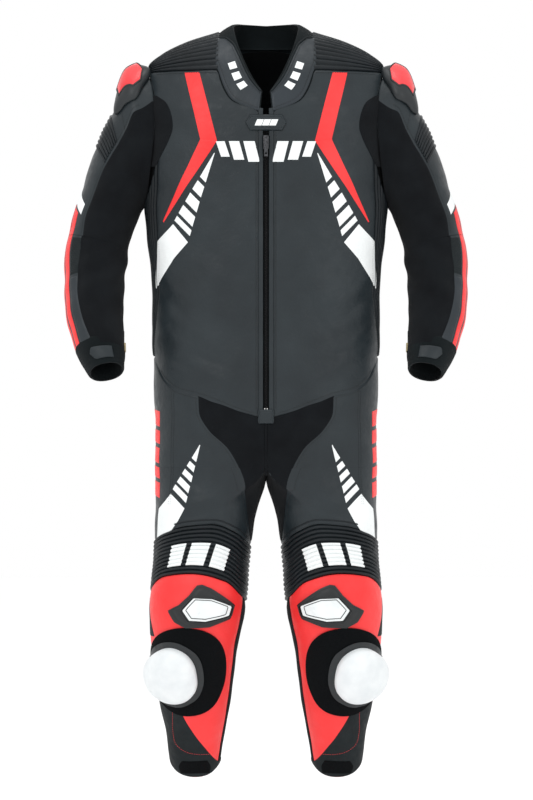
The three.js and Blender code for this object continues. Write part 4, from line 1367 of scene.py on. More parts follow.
    def lining(self) -> None:
        """The mesh lining, hung inside the leather and round the spine protector."""
        p, q = grid(60, 120, True)
        a = 360 * p
        away = np.minimum(a, 360 - a)
        top = Curve((0, -182), (35, -165), (62, -112), (90, -96), (120, -64), (150, -30), (180, -13))(away)
        z = mix(top, -636, q)
        height = -7.2 - 13.5 * smooth(140, 152, away)
        obj = panel(TORSO, a, z, height=height, wall=0.8, roll=(0, 1), closed=True).make("body_lining")
        self.dress.fit(obj, "lining", "stretch_knit", Body.TORSO)

    def inlays(self, side: int, word: str) -> None:
        """The red chevron, the white ladder and the chest bars, sewn flush into the front."""
        red = [
            inlay(
                TORSO, [(159, -86), (128, -218)], [(130, -86), (95, -221.5)], (40, -200), side=side,
                size=(60, 14),
            ),
            inlay(
                TORSO, [(128, -218), (202, -376)], [(95, -221.5), (200.5, -378)], (40, -200), side=side,
                size=(70, 14),
            ),
        ]
        self.dress.fit(joined(red).make(f"chevron_{word}"), "red", "leather_red", Body.TORSO, side)
        rails = ((98, -241), (182, -380)), ((98, -241), (151, -412))
        rungs = ((0.03, 0.36), (0.41, 0.53), (0.58, 0.70), (0.75, 0.86), (0.90, 0.965))
        white = [inlay(TORSO, *pair, (40, -300), side=side, size=(16, 10)) for pair in ladder(*rails, rungs)]
        white.append(
            inlay(
                TORSO, [(182, -382), (212, -413.6), (218.5, -506)], [(153, -418), (180, -449), (217, -506.5)],
                (60, -430), side=side, size=(70, 18),
            )
        )
        for x, wide, high in ((12, 22, 40), (42, 20, 36), (70, 17, 30)):
            low, lean = -223 - high, 10
            white.append(
                inlay(
                    TORSO, [(x + lean, -223), (x, low)], [(x + lean + wide, -223), (x + wide, low)],
                    (10, -240), side=side, size=(26, 14), height=0.7,
                )
            )
        self.dress.fit(joined(white).make(f"chest_inlay_{word}"), "white", "leather_black", Body.TORSO, side)
        knit = inlay(
            TORSO,
            [(214, -129), (196, -143), (185, -170), (183, -195), (192, -222), (205, -246), (216, -268)],
            [(236, -129), (237, -143), (237.5, -170), (237.5, -195), (237, -222), (236, -246), (230, -268)],
            (60, -200), side=side, size=(80, 20), height=0.9, curved=True,
        )
        self.dress.fit(knit.make(f"armhole_knit_{word}"), "knit", "stretch_knit", Body.TORSO, side)


# ---- Neck and zip ------------------------------------------------------------------------
@dataclass
class CollarAndZip:
    """The knit-faced standing collar with its leather wings, and what belongs to the main zip."""

    dress: Dresser
    zip_bottom: float = -741.0
    zip_top: float = -180.0

    def build(self) -> None:
        """Make the collar, its wings, the zip's tapes and teeth, and the two patches."""
        p, q = grid(40, 220)
        a = mix(-176.5, 176.5, p)
        bow = 2.2 * np.sin(math.pi * q)
        rise = mix(-0.16, 1.0, q)
        obj = panel(COLLAR, a, rise, height=bow - 0.4, wall=3.6, roll=(1.4, 3)).make("collar_knit")
        self.dress.fit(obj, "neoprene", "neoprene", Body.TORSO, 1, ("collar",))
        for side, word in SIDES:
            self.wing(side, word)
        self.zip()
        self.patches()

    def wing(self, side: int, word: str) -> None:
        """A leather wing over the collar's front, with a rolled binding and two rows of stitches."""
        p, q = grid(36, 90)
        a = mix(97, 175.5, p)
        rise = Curve((97, 0.02), (106, 0.55), (122, 0.86), (140, 0.9), (176, 0.9))(a)
        low = -0.1 * smooth(97, 108, a)
        obj = panel(COLLAR, a, mix(low, rise, q), side=side, height=3.0 + 1.4 * np.sin(math.pi * q), wall=1.6)
        self.dress.fit(obj.make(f"collar_wing_{word}"), "grey", "leather_black", Body.TORSO, side)
        t = np.linspace(99, 175, 160)
        top = Curve((97, 0.02), (106, 0.55), (122, 0.86), (140, 0.9), (176, 0.9))(t)
        path = lifted(COLLAR, t, top, 3.4)
        obj = cord_along(f"collar_binding_{word}", path, 2.0, side, 10)
        self.dress.fit(obj, "dull_black", "leather_black", Body.TORSO, side)
        inner, low = np.stack([t, top * 0.86], -1), np.stack([t, 0 * t + 0.02], -1)
        obj = Thread().sew(f"collar_stitching_{word}", COLLAR, [inner[6:], low[10:]], 4.9, side)
        self.dress.fit(obj, "thread", "leather_black", Body.TORSO, side)
        p, q = grid(24, 40)
        a, b = mix(132, 160, p), mix(0.34, 0.64, q)
        bars = [
            panel(COLLAR, mix(s, s + 6, p) + 3 * q, b, side=side, height=5.2, wall=1.0, roll=(0.4, 1))
            for s in (131, 140, 149)
        ]
        self.dress.fit(joined(bars).make(f"collar_bars_{word}"), "white", "leather_black", Body.TORSO, side)

    def plane(self, x: Array, z: Array, height: Array | float) -> Array:
        """A point in front of the zip's tapes, which lie behind the slot."""
        y = BODY_Y - TORSO.front(z) + 3.8 - height
        return np.stack([x + 0 * z, y + 0 * x, z + 0 * x], -1)

    def zip(self) -> None:
        """The woven tapes with a row of moulded teeth up their middle."""
        p, q = grid(260, 24)
        x, z = mix(-15, 15, p), mix(self.zip_top, self.zip_bottom, q)
        chain = 1.6 * smooth(4.4, 3.2, np.abs(x))
        obj = shell(self.plane(x, z, chain), self.plane(x, z, -1.2)).make("zip_tapes")
        self.dress.fit(obj, "tape", "zip_tape", Body.TORSO, 1, ("main_zip",))
        z = np.arange(self.zip_bottom + 3, self.zip_top - 2, 2.6)
        x = np.where(np.arange(len(z)) % 2 == 0, 0.8, -0.8)
        middle = self.plane(x, z, 1.5)
        along, up = np.tile([1.0, 0, 0], (len(z), 1)), np.tile([0, -1.0, 0], (len(z), 1))
        obj = capsules("zip_teeth", middle, along, up, (5.6, 1.7, 1.2))
        self.dress.fit(obj, "teeth", "zip_tape", Body.TORSO)

    def patches(self) -> None:
        """The six-sided garage over the zip's top end and the square patch at its foot."""
        base = float(BODY_Y - TORSO.front(-200)) - 1.2
        for name, half, nose, high, z0, node in (
            ("garage_patch", 40.0, 9.0, 15.5, -187.0, "zip_garage"),
            ("zip_foot_patch", 15.5, 2.5, 14.0, -757.0, "zip_end_patch"),
        ):
            p, q = grid(30, 50)
            z = (2 * q - 1) * high
            x = (2 * p - 1) * (half - nose * np.abs(2 * q - 1) ** (1 if nose > 5 else 6))
            away = np.minimum(half - np.abs(x) - nose * np.abs(2 * q - 1), high - np.abs(z))
            lift = 2.6 * smooth(-0.2, 2.2, away) - 0.9 * bump(away, 4.2, 0.9)
            outer = np.stack([x, base - 0.6 - lift, z + z0], -1)
            inner = np.stack([x, base + 1.6 + 0 * x, z + z0], -1)
            self.dress.fit(shell(outer, inner).make(name), "black", "leather_black", Body.TORSO, 1, (node,))
        p, q = grid(14, 18)
        bars = []
        for x0 in (-22, -8, 6):
            x, z = x0 + 5 * (1 - q) + 13 * p, -187 + 6 - 12 * q
            bars.append(
                shell(np.stack([x, base - 3.9 + 0 * x, z], -1), np.stack([x, base - 2.0 + 0 * x, z], -1))
            )
        self.dress.fit(joined(bars).make("garage_bars"), "white", "leather_black", Body.TORSO)


# ---- Sleeves -----------------------------------------------------------------------------
@dataclass
class SleeveSet:
    """Both sleeves: shoulder to elbow in one skin, elbow to wrist in another, and the cuff."""

    dress: Dresser
    elbow: float = 7.1
    end: float = 13.0
    seam: float = 0.01
    lap: float = 0.08
    knit_inner: float = 226.0
    stripes: tuple[tuple[float, float], ...] = ((-46, 12), (19, 37))

    def edge(self, station: Array) -> Array:
        """The knit panel's outer edge, as the sleeve's angle over station."""
        return Curve(
            (-0.9, 64), (-0.3, 67), (0.6, 69.5), (1.6, 70), (2.6, 68), (3.6, 63), (4.7, 59), (6.3, 60),
            (7.8, 66), (9.6, 62), (13, 80),
        )(station)

    @staticmethod
    def armhole(a: Array) -> Array:
        """The armhole seam's station over the angle: it lies nearer the body in front and behind."""
        return 0.12 - 1.15 * np.sin(np.radians(a)) ** 2

    def build(self) -> None:
        """Make both sleeves."""
        for side, word in SIDES:
            self.upper(side, word)
            self.lower(side, word)
            self.cuff(side, word)
            self.cup(side, word)

    def upper(self, side: int, word: str) -> None:
        """The upper sleeve's leather skin with its knit underside, ribs and white band."""
        p, q = grid(120, 120, True)
        a = 360 * p
        b = mix(self.armhole(a), self.elbow - self.seam, q)
        obj = panel(SLEEVE, a, b, side=side, closed=True, ends=(True, False))
        obj = obj.make(f"upper_sleeve_leather_{word}")
        nodes = [f"{n}_{word}" for n in ("sleeve_cap", "shoulder_gusset", "upper_sleeve")]
        self.dress.fit(obj, "black", "leather_black", Bend.SHOULDER, side, nodes)
        p, q = grid(110, 60)
        a = mix(62, self.knit_inner, p)
        b = mix(self.armhole(a) + 0.04, self.elbow - self.seam, q)
        fade = smooth(0, 0.12, p) * smooth(1, 0.88, p)
        obj = panel(
            SLEEVE, mix(self.edge(b), self.knit_inner, p), b, side=side, height=0.9 + 0.8 * fade, wall=1.6,
            ends=(True, False)
        )
        self.dress.fit(obj.make(f"upper_sleeve_knit_{word}"), "knit", "stretch_knit", Bend.SHOULDER, side)
        p, q = grid(90, 90)
        b = mix(2.32, 3.42, q)
        a = mix(-112, self.edge(b + 0.2) - 3, p)
        lift = 1.6 + ribbed(q * 8, 3.2)
        obj = panel(SLEEVE, a, b + 0.25 * p, side=side, height=lift, wall=2.0)
        self.dress.fit(obj.make(f"arm_ribs_{word}"), "ribs", "ribbed_leather", Bend.SHOULDER, side)
        p, q = grid(24, 70)
        a = mix(-70, 48, p)
        b = 5.15 + 0.012 * (a - 10) + 0.52 * q
        obj = panel(SLEEVE, a, b, side=side, height=0.6, wall=1.2, roll=(0.6, 1.6))
        self.dress.fit(obj.make(f"elbow_band_{word}"), "white", "leather_black", Bend.SHOULDER, side)
        t = np.linspace(0.5, self.elbow - 0.1, 300)
        lines = [np.stack([self.edge(t) - 3, t], -1), np.stack([0 * t + 223, t], -1)]
        ring = np.linspace(-95, 88, 140)
        lines.append(np.stack([ring, 0 * ring + 1.95], -1))
        obj = Thread().sew(f"sleeve_stitching_{word}", SLEEVE, lines, 0.6, side)
        self.dress.fit(obj, "thread", "leather_black", Bend.SHOULDER, side)

    def lower(self, side: int, word: str) -> None:
        """The forearm: knit all round, with leather, two red bands and a quilted panel outside."""
        p, q = grid(120, 120, True)
        a, b = 360 * p, mix(self.elbow - self.lap, self.end, q)
        low = self.edge(b)
        share = (a - low) / (self.knit_inner - low)
        under = 1.2 * smooth(0, -0.03, b - self.elbow)
        lift = -0.6 + 2.3 * smooth(0, 0.12, share) * smooth(1, 0.88, share) - under
        obj = panel(
            SLEEVE, a, b, side=side, height=lift, closed=True, ends=(False, True)
        ).make(f"forearm_knit_{word}")
        nodes = [f"{n}_{word}" for n in ("elbow_gusset", "forearm_stretch", "forearm_leather")]
        self.dress.fit(obj, "knit", "stretch_knit", Bend.ELBOW, side, nodes)
        p, q = grid(110, 60)
        b = mix(self.elbow + self.seam, self.end - 0.2, q)
        a = mix(self.edge(b), self.knit_inner - 360, p)
        obj = panel(SLEEVE, a, b, side=side, height=0.1, wall=1.5, ends=(False, True))
        self.dress.fit(obj.make(f"forearm_hide_{word}"), "black", "leather_black", Bend.ELBOW, side)
        p, q = grid(120, 16)
        bands = []
        for start, end in self.stripes:
            b = mix(self.elbow + self.seam, self.end - 0.25, q)
            a = mix(end, start, p)
            bands.append(
                panel(SLEEVE, a, b, side=side, height=0.7, wall=1.2, roll=(0.5, 1.4), ends=(False, True))
            )
        self.dress.fit(joined(bands).make(f"forearm_red_{word}"), "red", "leather_red", Bend.ELBOW, side)
        upper = []
        for start, end in self.stripes:
            a = mix(end, start, p)
            b = mix(5.72 + 0.010 * a, self.elbow - self.seam, q)
            upper.append(
                panel(SLEEVE, a, b, side=side, height=0.7, wall=1.2, roll=(0.5, 1.4), ends=(True, False))
            )
        self.dress.fit(joined(upper).make(f"elbow_red_{word}"), "red", "leather_red", Bend.SHOULDER, side)
        p, q = grid(120, 24)
        b = mix(self.elbow + 0.1, 8.9, q)
        quilt = 0.8 * np.abs(np.sin(q * 62)) * np.abs(np.sin(p * 12 + q * 31))
        obj = panel(SLEEVE, mix(self.edge(b) - 2, 40, p), b, side=side, height=1.2 + quilt, wall=1.5)
        self.dress.fit(obj.make(f"forearm_quilt_{word}"), "dull_black", "leather_black", Bend.ELBOW, side)
        b = mix(9.0, self.end - 0.2, q)
        obj = panel(SLEEVE, mix(self.edge(b) - 2, 41, p), b, side=side, height=1.2, wall=1.5)
        self.dress.fit(obj.make(f"forearm_grey_{word}"), "grey", "leather_black", Bend.ELBOW, side)
        t = np.linspace(11.2, 13.6, 120)
        path = lifted(SLEEVE, 0 * t + 180, t, 1.0)
        tape = cord_along(f"wrist_zip_chain_{word}", path, 1.6, side)
        self.dress.fit(tape, "teeth", "zip_tape", Body.FOREARM, side)

    def cuff(self, side: int, word: str) -> None:
        """The knit cuff with a turned hem, and the tab that closes it."""
        p, q = grid(70, 120, True)
        a = 360 * p
        b = mix(12.05 + 0.25 * np.cos(np.radians(a)), 14.0, q)
        lift = 1.4 + 0.5 * smooth(0.80, 0.82, q)
        obj = panel(SLEEVE, a, b, side=side, height=lift, wall=3.2, closed=True).make(f"cuff_knit_{word}")
        self.dress.fit(obj, "neoprene", "neoprene", Body.FOREARM, side, (f"cuff_{word}",))
        p, q = grid(30, 60)
        a = mix(118, 60, p)
        round_end = np.sqrt(np.clip(1 - smooth(0.72, 1.0, p) ** 2, 0.02, 1))
        b = 13.45 + (q - 0.5) * 0.60 * round_end
        obj = panel(
            SLEEVE, a, b, side=side, height=4.3, wall=2.3, roll=(0.8, 1.6)
        ).make(f"cuff_tab_{word}_leather")
        self.dress.fit(obj, "black", "leather_black", Body.TAB, side, (f"cuff_tab_{word}",))

    def cup(self, side: int, word: str) -> None:
        """The hard cup on the point of the shoulder, with its red insert inside a raised lip."""
        middle, ground = (32.0, 0.9), Even(SLEEVE)
        near, far = 0.76, 0.96
        ends = SLEEVE.base(np.array([34.0, 34.0]), np.array([near, far]))
        station = (near - far) / float(np.linalg.norm(ends[1] - ends[0]))
        t = np.radians(np.arange(0, 360, 6))
        round_shape = np.stack([np.cos(t) * 42, np.sin(t) * 35], -1) * (1 + 0.1 * np.cos(4 * t))[:, None]

        def top(r: Array, turn: Array) -> Array:
            """A low crown that rounds down to the rim."""
            return 5.4 + 8.6 * (1 - r**6)

        edge = polygon_edge(ground, middle, round_shape, station)
        obj = disc(ground, middle, edge, top, 2.0, side=side).make(f"shoulder_cup_{word}_shell")
        self.dress.fit(obj, "cup", "moulded_black", Body.TORSO, side, (f"shoulder_cup_{word}",))
        corners = np.array([(29, 10), (4, 20), (-18, 15), (-25, 1), (-9, -19), (18, -20)], float)
        edge = polygon_edge(ground, middle, corners, station)
        obj = disc(
            ground, middle, edge, lambda r, t: 14.0 + 1.4 * (1 - r**6), 9.0, side=side, rings=12, around=120
        ).make(f"shoulder_cup_{word}_insert")
        self.dress.fit(obj, "cup_red", "moulded_black", Body.TORSO, side)
        turn = np.arange(0, 360, 3.0)
        edge = polygon_edge(ground, middle, corners * 1.09, station)
        path = lifted(ground, *edge(turn), 13.3)
        obj = cord_along(f"shoulder_cup_{word}_lip", path, 1.5, side, closed=True)
        self.dress.fit(obj, "badge", "moulded_black", Body.TORSO, side)


# ---- Hips and legs -----------------------------------------------------------------------
@dataclass
class LegSet:
    """Hips, thighs, knees and shins, with their ribs, inlays, badges and sliders."""

    dress: Dresser
    hip_line: float = -857.0
    fly_top: float = -770.0
    seat_top: float = -603.0
    seam_foot: float = -872.0

    knee_top = Curve(
        (-180, -1012), (-90, -1014), (0, -1003), (40, -984), (75, -970), (98, -967), (130, -984),
        (155, -1003), (180, -1012),
    )
    knee_low = Curve(
        (-180, -1122), (-90, -1128), (-20, -1112), (8, -1092), (45, -1069), (80, -1063),
        (120, -1078), (150, -1106), (180, -1122),
    )

    @staticmethod
    def wrap(a: Array) -> Array:
        """An angle brought between -180 and 180."""
        return (np.asarray(a, float) + 180) % 360 - 180

    @staticmethod
    def angle(x: Array, z: Array) -> Array:
        """The front angle at which the pelvis reaches distance x."""
        share = np.clip(np.abs(x) / TORSO.width(z), 0, 1)
        return np.degrees(np.arccos(share ** (SECTION_POWER / 2))) * SPLIT_ANGLE / 90

    def hem(self, a: Array) -> Array:
        """The ankle hem over the leg's angle: 28 mm lower at the front than at the back."""
        return -1447 - 28 * np.sin(np.radians(a))

    def build(self) -> None:
        """Make both legs and the crotch panel."""
        for side, word in SIDES:
            self.hip(side, word)
            self.knit(side, word)
            self.thigh_inlays(side, word)
            self.knee(side, word)
            self.shin(side, word)
            self.badge(side, word)
            self.slider(side, word)
        proud = 0.4
        for name, front in (("fly", True), ("seat", False)):
            z = np.linspace(self.fly_top if front else self.seat_top, self.seam_foot, 120)
            y = BODY_Y - TORSO.front(z) - proud if front else BODY_Y + TORSO.back(z) + proud
            path = np.stack([0 * z, y, z], -1)
            obj = cord_along(f"{name}_seam", path, 1.7)
            self.dress.fit(obj, "knit" if front else "black", "leather_black", Body.TORSO)

    def hip(self, side: int, word: str) -> None:
        """The hip's leather and the thigh's, cut in one down to the knee ribs."""
        p, q = grid(90, 130)
        a = mix(111.6, -111.6, p)
        x = LEG.base(a, -700 + 0 * a)[..., 0]
        back = mix(-600, -640, np.clip(x / 221, 0, 1) ** 1.5)
        z = mix(np.where(a > 0, waist_height(x), back) - 0.5, self.hip_line, q)
        seam = -1.5 * smooth(3.5, 0, (z[:1] - z))
        obj = panel(LEG, a, z, side=side, height=seam, roll=(0, 1)).make(f"hip_leather_{word}")
        self.dress.fit(obj, "black", "leather_black", Body.TORSO, side, (f"hip_panel_{word}",))
        p, q = grid(80, 150, True)
        a = self.wrap(360 * p)
        z = mix(self.hip_line + 4, self.knee_top(a) + 0.5, q)
        seam = -1.6 * smooth(4, 0, z - z[-1:]) - 0.9 * smooth(0.0, 1.0, z - self.hip_line)
        obj = panel(LEG, a, z, side=side, height=seam, closed=True, roll=(0, 1)).make(f"thigh_leather_{word}")
        self.dress.fit(
            obj, "black", "leather_black", Bend.HIP, side, (f"groin_gusset_{word}", f"thigh_panel_{word}")
        )
        t = np.linspace(-706, -930, 130)
        lines = [
            np.stack([self.angle(185 + 0 * t, t), t], -1), np.stack([self.angle(180.5 + 0 * t, t), t], -1)
        ]
        x = np.linspace(20, 212, 140)
        z = waist_height(x) - 5.5
        lines.append(np.stack([self.angle(x, z), z], -1))
        obj = Thread().sew(f"hip_stitching_{word}", LEG, lines, 0.4, side)
        self.dress.fit(obj, "thread", "leather_black", Bend.HIP, side)
        ring = np.linspace(56, 160, 160)
        path = lifted(LEG, ring, self.knee_top(ring) + 9, 0.6)
        obj = cord_along(f"knee_piping_{word}", path, 1.3, side)
        self.dress.fit(obj, "ribs", "leather_black", Body.THIGH, side)

    def knit(self, side: int, word: str) -> None:
        """The stretch panel from the fly down the inner thigh."""
        edge = Curve((-858, 53), (-854, 55), (-819, 76), (-784, 112), (-749, 131), (-715, 133))
        p, q = grid(70, 60)
        z = mix(waist_height(133 * p) - 0.6, self.hip_line - 0.6, q)
        a = self.angle(mix(0.3, edge(z), p), z)
        obj = panel(
            LEG, a, z, side=side, height=0.8, wall=1.4, ends=(True, False)
        ).make(f"crotch_knit_{word}")
        self.dress.fit(obj, "knit", "stretch_knit", Body.TORSO, side, ("crotch_stretch",) if side > 0 else ())
        z = np.linspace(-857.5, -1004, 60)
        x = Curve((-1010, 30), (-953, 37), (-886, 45), (-857, 55))(z)
        first, _ = LEG.locate(x, z, (118, -900))
        p, q = grid(60, 50)
        last = 218.0
        a = mix(first[:, None], last, p)
        obj = panel(LEG, a, z[:, None] + 0 * p, side=side, height=0.8, wall=1.4, ends=(False, True))
        self.dress.fit(obj.make(f"inner_thigh_knit_{word}"), "knit", "stretch_knit", Bend.HIP, side)
        low = np.linspace(-721, -856, 80)
        lines = [np.stack([self.angle(edge(low) + 4.0, low), low], -1), np.stack([first - 4, z], -1)]
        obj = Thread().sew(f"thigh_stitching_{word}", LEG, lines, 0.4, side)
        self.dress.fit(obj, "thread", "leather_black", Bend.HIP, side)

    def thigh_inlays(self, side: int, word: str) -> None:
        """The white ladder over the thigh and the red bars down its outer side."""
        rails = ((127, -809), (186, -905)), ((127, -809), (158, -933))
        rungs = ((0.03, 0.30), (0.36, 0.46), (0.52, 0.62), (0.68, 0.79), (0.84, 0.94))
        white = [inlay(LEG, *pair, (70, -860), side=side, size=(14, 10)) for pair in ladder(*rails, rungs)]
        white.append(
            inlay(
                LEG, [(187, -908), (211, -938), (215, -998)], [(159, -936), (172, -962), (184, -979)],
                (45, -950), side=side, size=(50, 20),
            )
        )
        self.dress.fit(joined(white).make(f"thigh_inlay_{word}"), "white", "leather_black", Bend.HIP, side)
        p, q = grid(24, 50)
        bars = []
        for z0, high in ((-741, 30), (-779, 26), (-813, 30), (-851, 22), (-881, 30)):
            a = mix(24, -34, p)
            bars.append(
                panel(
                    LEG, a, z0 - high * q - 0.22 * (a + 5), side=side, height=0.7, wall=1.2, roll=(0.6, 1.6)
                ),
            )
        self.dress.fit(joined(bars).make(f"thigh_bars_{word}"), "red", "leather_red", Bend.HIP, side)

    def knee(self, side: int, word: str) -> None:
        """The ribbed knee, with white bars that follow its ribs."""
        count, height = 12, 4.2
        p, q = grid(144, 110, True)
        a = self.wrap(360 * p)
        top, low = self.knee_top(a) - 0.5, self.knee_low(a) + 0.5
        lift = ribbed(q * count, height)
        obj = panel(
            LEG, a, mix(top, low, q), side=side, height=lift, closed=True, roll=(1, 2)
        ).make(f"knee_ribs_{word}")
        self.dress.fit(obj, "ribs", "ribbed_leather", Bend.KNEE, side, (f"knee_gusset_{word}",))
        p, q = grid(90, 16)
        q = mix(0.36, 0.82, q)
        bars = []
        for start, wide in ((124, 19), (99, 19), (74, 19)):
            a = start - wide * p - 14 * (q - 0.36)
            z = mix(self.knee_top(a) - 0.5, self.knee_low(a) + 0.5, q)
            bars.append(
                panel(LEG, a, z, side=side, height=ribbed(q * count, height) + 0.7, wall=0.9, roll=(0.4, 1))
            )
        self.dress.fit(joined(bars).make(f"knee_bars_{word}"), "white", "ribbed_leather", Bend.KNEE, side)

    def shin(self, side: int, word: str) -> None:
        """The red shin, the knit calf, the dark lower panel, its piping, the patch and the lining."""
        p, q = grid(130, 80)
        a = mix(158, -22, p)
        bulge = 3.4 * bump(a, 75, 52) * smooth(0.0, 0.05, q) * smooth(0.34, 0.14, q)
        obj = panel(
            LEG, a, mix(self.knee_low(a) - 0.5, self.hem(a), q), side=side, height=bulge, roll=(1.6, 4)
        )
        self.dress.fit(
            obj.make(f"shin_red_{word}"), "red", "leather_red", Body.SHIN, side, (f"shin_leather_{word}",)
        )
        p, q = grid(30, 110, True)
        obj = panel(
            LEG, 360 * p, mix(-1330, self.hem(360 * p) + 0.6, q), side=side, height=-2.6, wall=0.6,
            closed=True,
        )
        self.dress.fit(obj.make(f"ankle_lining_{word}"), "lining", "stretch_knit", Body.SHIN, side)
        a = mix(-22.5, -201.5, p)
        near = self.wrap(a)
        obj = panel(LEG, a, mix(self.knee_low(near) - 0.5, self.hem(near), q), side=side, height=-0.3)
        self.dress.fit(
            obj.make(f"calf_knit_{word}"), "knit", "stretch_knit", Body.SHIN, side, (f"calf_stretch_{word}",)
        )
        z = np.linspace(-1330, -1476, 70)
        edge, _ = LEG.locate(Curve((-1476, 92), (-1456, 97), (-1346, 160), (-1330, 166))(z), z, (70, -1400))
        p, q = grid(70, 60)
        a = mix(edge[:, None], -21, p)
        z = mix(-1336 + 52 * p, self.hem(a) + 0.6, q)
        obj = panel(LEG, a, z, side=side, height=0.8, wall=1.4).make(f"shin_dark_{word}")
        self.dress.fit(obj, "dull_black", "leather_black", Body.SHIN, side)
        p, q = grid(40, 24)
        a = mix(-21, 4 + 26 * q, p)
        obj = panel(LEG, a, mix(-1112, -1190, q), side=side, height=0.9, wall=1.5).make(f"shin_wedge_{word}")
        self.dress.fit(obj, "dull_black", "leather_black", Body.SHIN, side)
        patch = inlay(
            LEG, [(116, -1440), (110, -1452), (112, -1466)], [(166, -1440), (172, -1452), (168, -1466)],
            (80, -1450), side=side, size=(24, 30), height=1.8, curved=True,
        )
        self.dress.fit(patch.make(f"ankle_patch_{word}"), "hook", "leather_black", Body.SHIN, side)
        line = polyline(
            [(184, -1338), (183, -1385), (178, -1404), (160, -1420), (136, -1426), (112, -1427)], 120, True
        )
        a, b = LEG.locate(line[:, 0], line[:, 1], (60, -1400))
        obj = Thread(width=0.9).sew(f"shin_stitching_{word}", LEG, [np.stack([a, b], -1)], 1.1, side)
        self.dress.fit(obj, "thread_red", "leather_red", Body.SHIN, side)
        z = np.linspace(-1135, -1434, 120)
        path = lifted(LEG, 0 * z - 22, z, 0.6)
        self.dress.fit(
            cord_along(f"shin_piping_{word}", path, 1.4, side), "red", "leather_red", Body.SHIN, side
        )
        z = np.linspace(-1120, -1448, 120)
        path = lifted(LEG, 0 * z + 158, z, 0.3)
        self.dress.fit(
            cord_along(f"calf_piping_{word}", path, 1.3, side), "dull_black", "leather_black", Body.SHIN, side
        )
        t = np.linspace(-1290, -1428, 100)
        path = lifted(LEG, 0 * t + 215, t, 0.8)
        tape = cord_along(f"ankle_zip_chain_{word}", path, 1.6, side)
        self.dress.fit(tape, "teeth", "zip_tape", Body.SHIN, side)

    def badge(self, side: int, word: str) -> None:
        """The moulded badge on the kneecap, with a white insert in a raised frame."""
        middle = (98.0, -1128.0)
        corners = np.array(
            [
                (70, -7), (47, 4), (29, 23), (17, 42), (9, 44), (-10, 36), (-66, 4), (-58, -22), (-12, -37),
                (31, -39), (54, -28),
            ],
            float
        )
        outline = polygon_edge(LEG, middle, corners)
        obj = disc(
            LEG, middle, outline, lambda r, t: 7.2 + 2.6 * (1 - r**5) - 1.2 * bump(r, 0.84, 0.05), 1.0,
            side=side, around=132
        ).make(f"knee_badge_{word}_frame")
        self.dress.fit(obj, "badge", "moulded_black", Body.SHIN, side, (f"knee_badge_{word}",))
        inside = np.array([(38, -6), (20, 18), (-12, 16), (-54, 2), (-50, -15), (-2, -26), (24, -24)], float)
        obj = disc(
            LEG, middle, polygon_edge(LEG, middle, inside),
            lambda r, t: 10.4 + 0.7 * (1 - r**8) - 0.5 * bump(r, 0.86, 0.03), 7.0,
            side=side, rings=16, around=132,
        ).make(f"knee_badge_{word}_insert")
        self.dress.fit(obj, "badge_white", "moulded_black", Body.SHIN, side)
        turn = np.arange(0, 360, 3.0)
        for scale, radius, lift, key in ((1.12, 1.3, 10.2, "badge"), (0.84, 0.7, 10.9, "ribs")):
            path = lifted(LEG, *polygon_edge(LEG, middle, inside * scale)(turn), lift)
            obj = cord_along(f"knee_badge_{word}_line_{key}", path, radius, side, closed=True)
            self.dress.fit(obj, key, "moulded_black", Body.SHIN, side)

    def slider(self, side: int, word: str) -> None:
        """The hook patch with its stitched rim, and the slider puck on its scalloped base."""
        def round_edge(middle: tuple[float, float], wide: float, high: float, bulge: float) -> Callable:
            """A rounded shape with three soft corners."""
            degree = degrees_per_mm(LEG, *middle)
            def edge(turn: Array) -> tuple[Array, Array]:
                """The edge's surface pair at a turn."""
                t = np.radians(turn)
                reach = 1 + bulge * np.cos(3 * t + math.radians(25))
                across, up = np.cos(t) * wide / 2 * reach, np.sin(t) * high / 2 * reach
                return middle[0] - across * degree, middle[1] + up
            return edge

        hook = (74.0, -1257.0)
        obj = disc(
            LEG, hook, round_edge(hook, 184, 176, 0.03), lambda r, t: 4.4 - 0.8 * bump(r, 0.95, 0.015), 1.6,
            side=side,
        )
        self.dress.fit(
            obj.make(f"hook_patch_{word}_tape"), "hook", "hook_tape", Body.SHIN, side, (f"hook_patch_{word}",)
        )
        puck = (56.0, -1262.0)
        obj = disc(
            LEG, puck, round_edge(puck, 128, 130, 0.05),
            lambda r, t: 7.0 - 0.9 * (np.sin(np.radians(t) * 11) > 0.2) * (r > 0.88), 4.9, side=side,
            rings=20, around=132,
        )
        self.dress.fit(obj.make(f"slider_base_{word}"), "cup", "hook_tape", Body.PUCK, side)
        obj = disc(
            LEG, puck, round_edge(puck, 106, 108, 0.07),
            lambda r, t: 12.5 + 24.5 * np.sqrt(np.clip(1 - r**2.6, 0, 1)), 7.4, side=side, rings=36,
        )
        self.dress.fit(
            obj.make(f"slider_puck_{word}_shell"), "puck", "moulded_white", Body.PUCK, side,
            (f"knee_puck_{word}",),
        )


# ---- Hump, stage and the whole -----------------------------------------------------------
@dataclass
class Hump:
    """The streamlined hump between the shoulder blades."""

    dress: Dresser
    middle: tuple[float, float] = (180.0, -205.0)

    def build(self) -> None:
        """Make the hump, with a sewn channel in its crown."""
        degree = degrees_per_mm(TORSO, 172, -205)

        def outline(turn: Array) -> tuple[Array, Array]:
            """An ellipse 150 by 270 mm."""
            t = np.radians(turn)
            return self.middle[0] - np.cos(t) * 75 * degree, self.middle[1] + np.sin(t) * 135

        def crown(r: Array, turn: Array) -> Array:
            """A tall dome that runs out flat, with a sewn channel all round but at its foot."""
            channel = bump(r, 0.72, 0.02) * (np.sin(np.radians(turn)) > -0.9)
            return 4.9 + 39 * (1 - r * r) ** 1.3 - 1.2 * channel

        obj = disc(TORSO, self.middle, outline, crown, 0.9, rings=40, around=140).make("hump_shell")
        self.dress.fit(obj, "black", "leather_black", Body.TORSO, 1, ("speed_hump",), soft=0.9)


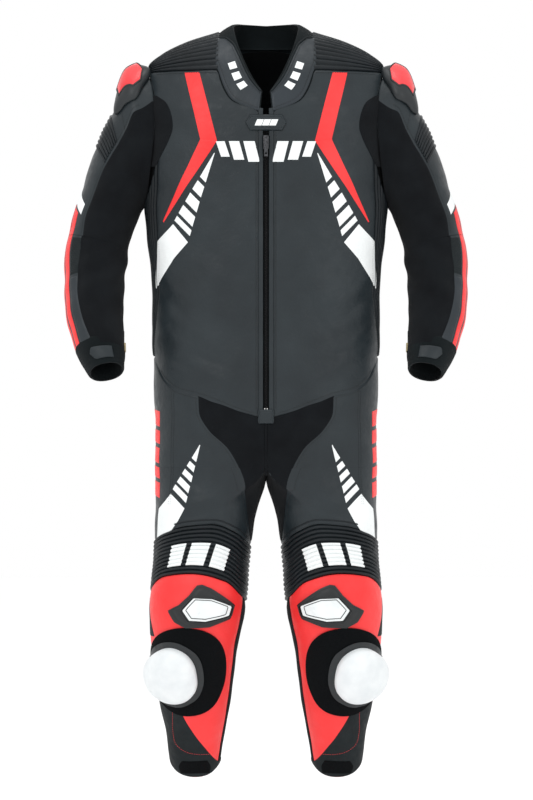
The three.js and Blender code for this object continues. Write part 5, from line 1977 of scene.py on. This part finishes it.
def stage() -> None:
    """A pale floor, an even white surround with four soft lights, and the camera."""
    corner = np.array([-9.0, 9.0])
    x, y = np.meshgrid(corner, corner)
    points = np.stack([x, y, 0 * x - 1.6], -1).reshape(-1, 3) * 1000
    floor = new_object("studio_floor", points, grid_quads(2, 2, False))
    g = Graph("painted_floor_white")
    floor.data.materials.append(g.close("#ffffff", 0.9, None))
    world = bpy.data.worlds.new("studio")
    world.use_nodes = True
    background = world.node_tree.nodes["Background"]
    background.inputs["Color"].default_value = (1, 1, 1, 1)
    background.inputs["Strength"].default_value = 1.0
    bpy.context.scene.world = world
    bpy.context.scene.view_settings.view_transform = "Standard"
    for name, place, size, watts in (
        ("key", (-1.6, -3.6, 1.4), 1.2, 22),
        ("fill", (2.2, -3.2, 0.2), 1.6, 10),
        ("top", (0.0, -0.9, 2.4), 1.2, 16),
        ("back", (0.0, 2.4, 1.0), 1.6, 14),
    ):
        light = bpy.data.lights.new(name, "AREA")
        light.energy, light.size = watts, size
        obj = bpy.data.objects.new(name, light)
        target = np.array([0, -0.08, -0.65])
        heading = Vector(target - np.array(place))
        obj.location = place
        obj.rotation_euler = heading.to_track_quat("-Z", "Y").to_euler()
        bpy.context.scene.collection.objects.link(obj)
    camera = bpy.data.cameras.new("camera")
    camera.lens = 138.0
    obj = bpy.data.objects.new("camera", camera)
    obj.location = (0.001, -6.15, -0.725)
    obj.rotation_euler = (math.pi / 2, 0, 0)
    bpy.context.scene.collection.objects.link(obj)
    bpy.context.scene.camera = obj


def main() -> None:
    """Build the suit over the fixed frame."""
    logging.basicConfig(level=logging.INFO, format="%(name)s %(message)s")
    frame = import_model()
    materials = {key: finish.material() for key, finish in FINISHES.items()}
    dress = Dresser(materials)
    for part in (TorsoShell(dress), CollarAndZip(dress), SleeveSet(dress), LegSet(dress), Hump(dress)):
        part.build()
    for name, node in frame["nodes"].items():
        key = "foam" if "protector" in name else "pull" if name in ("zip_slider", "zip_pull") else "metal"
        for slot in node.material_slots:
            slot.material = materials[key]
    stage()
    log.info("%d pieces", dress.made)


if __name__ == "__main__":
    main()
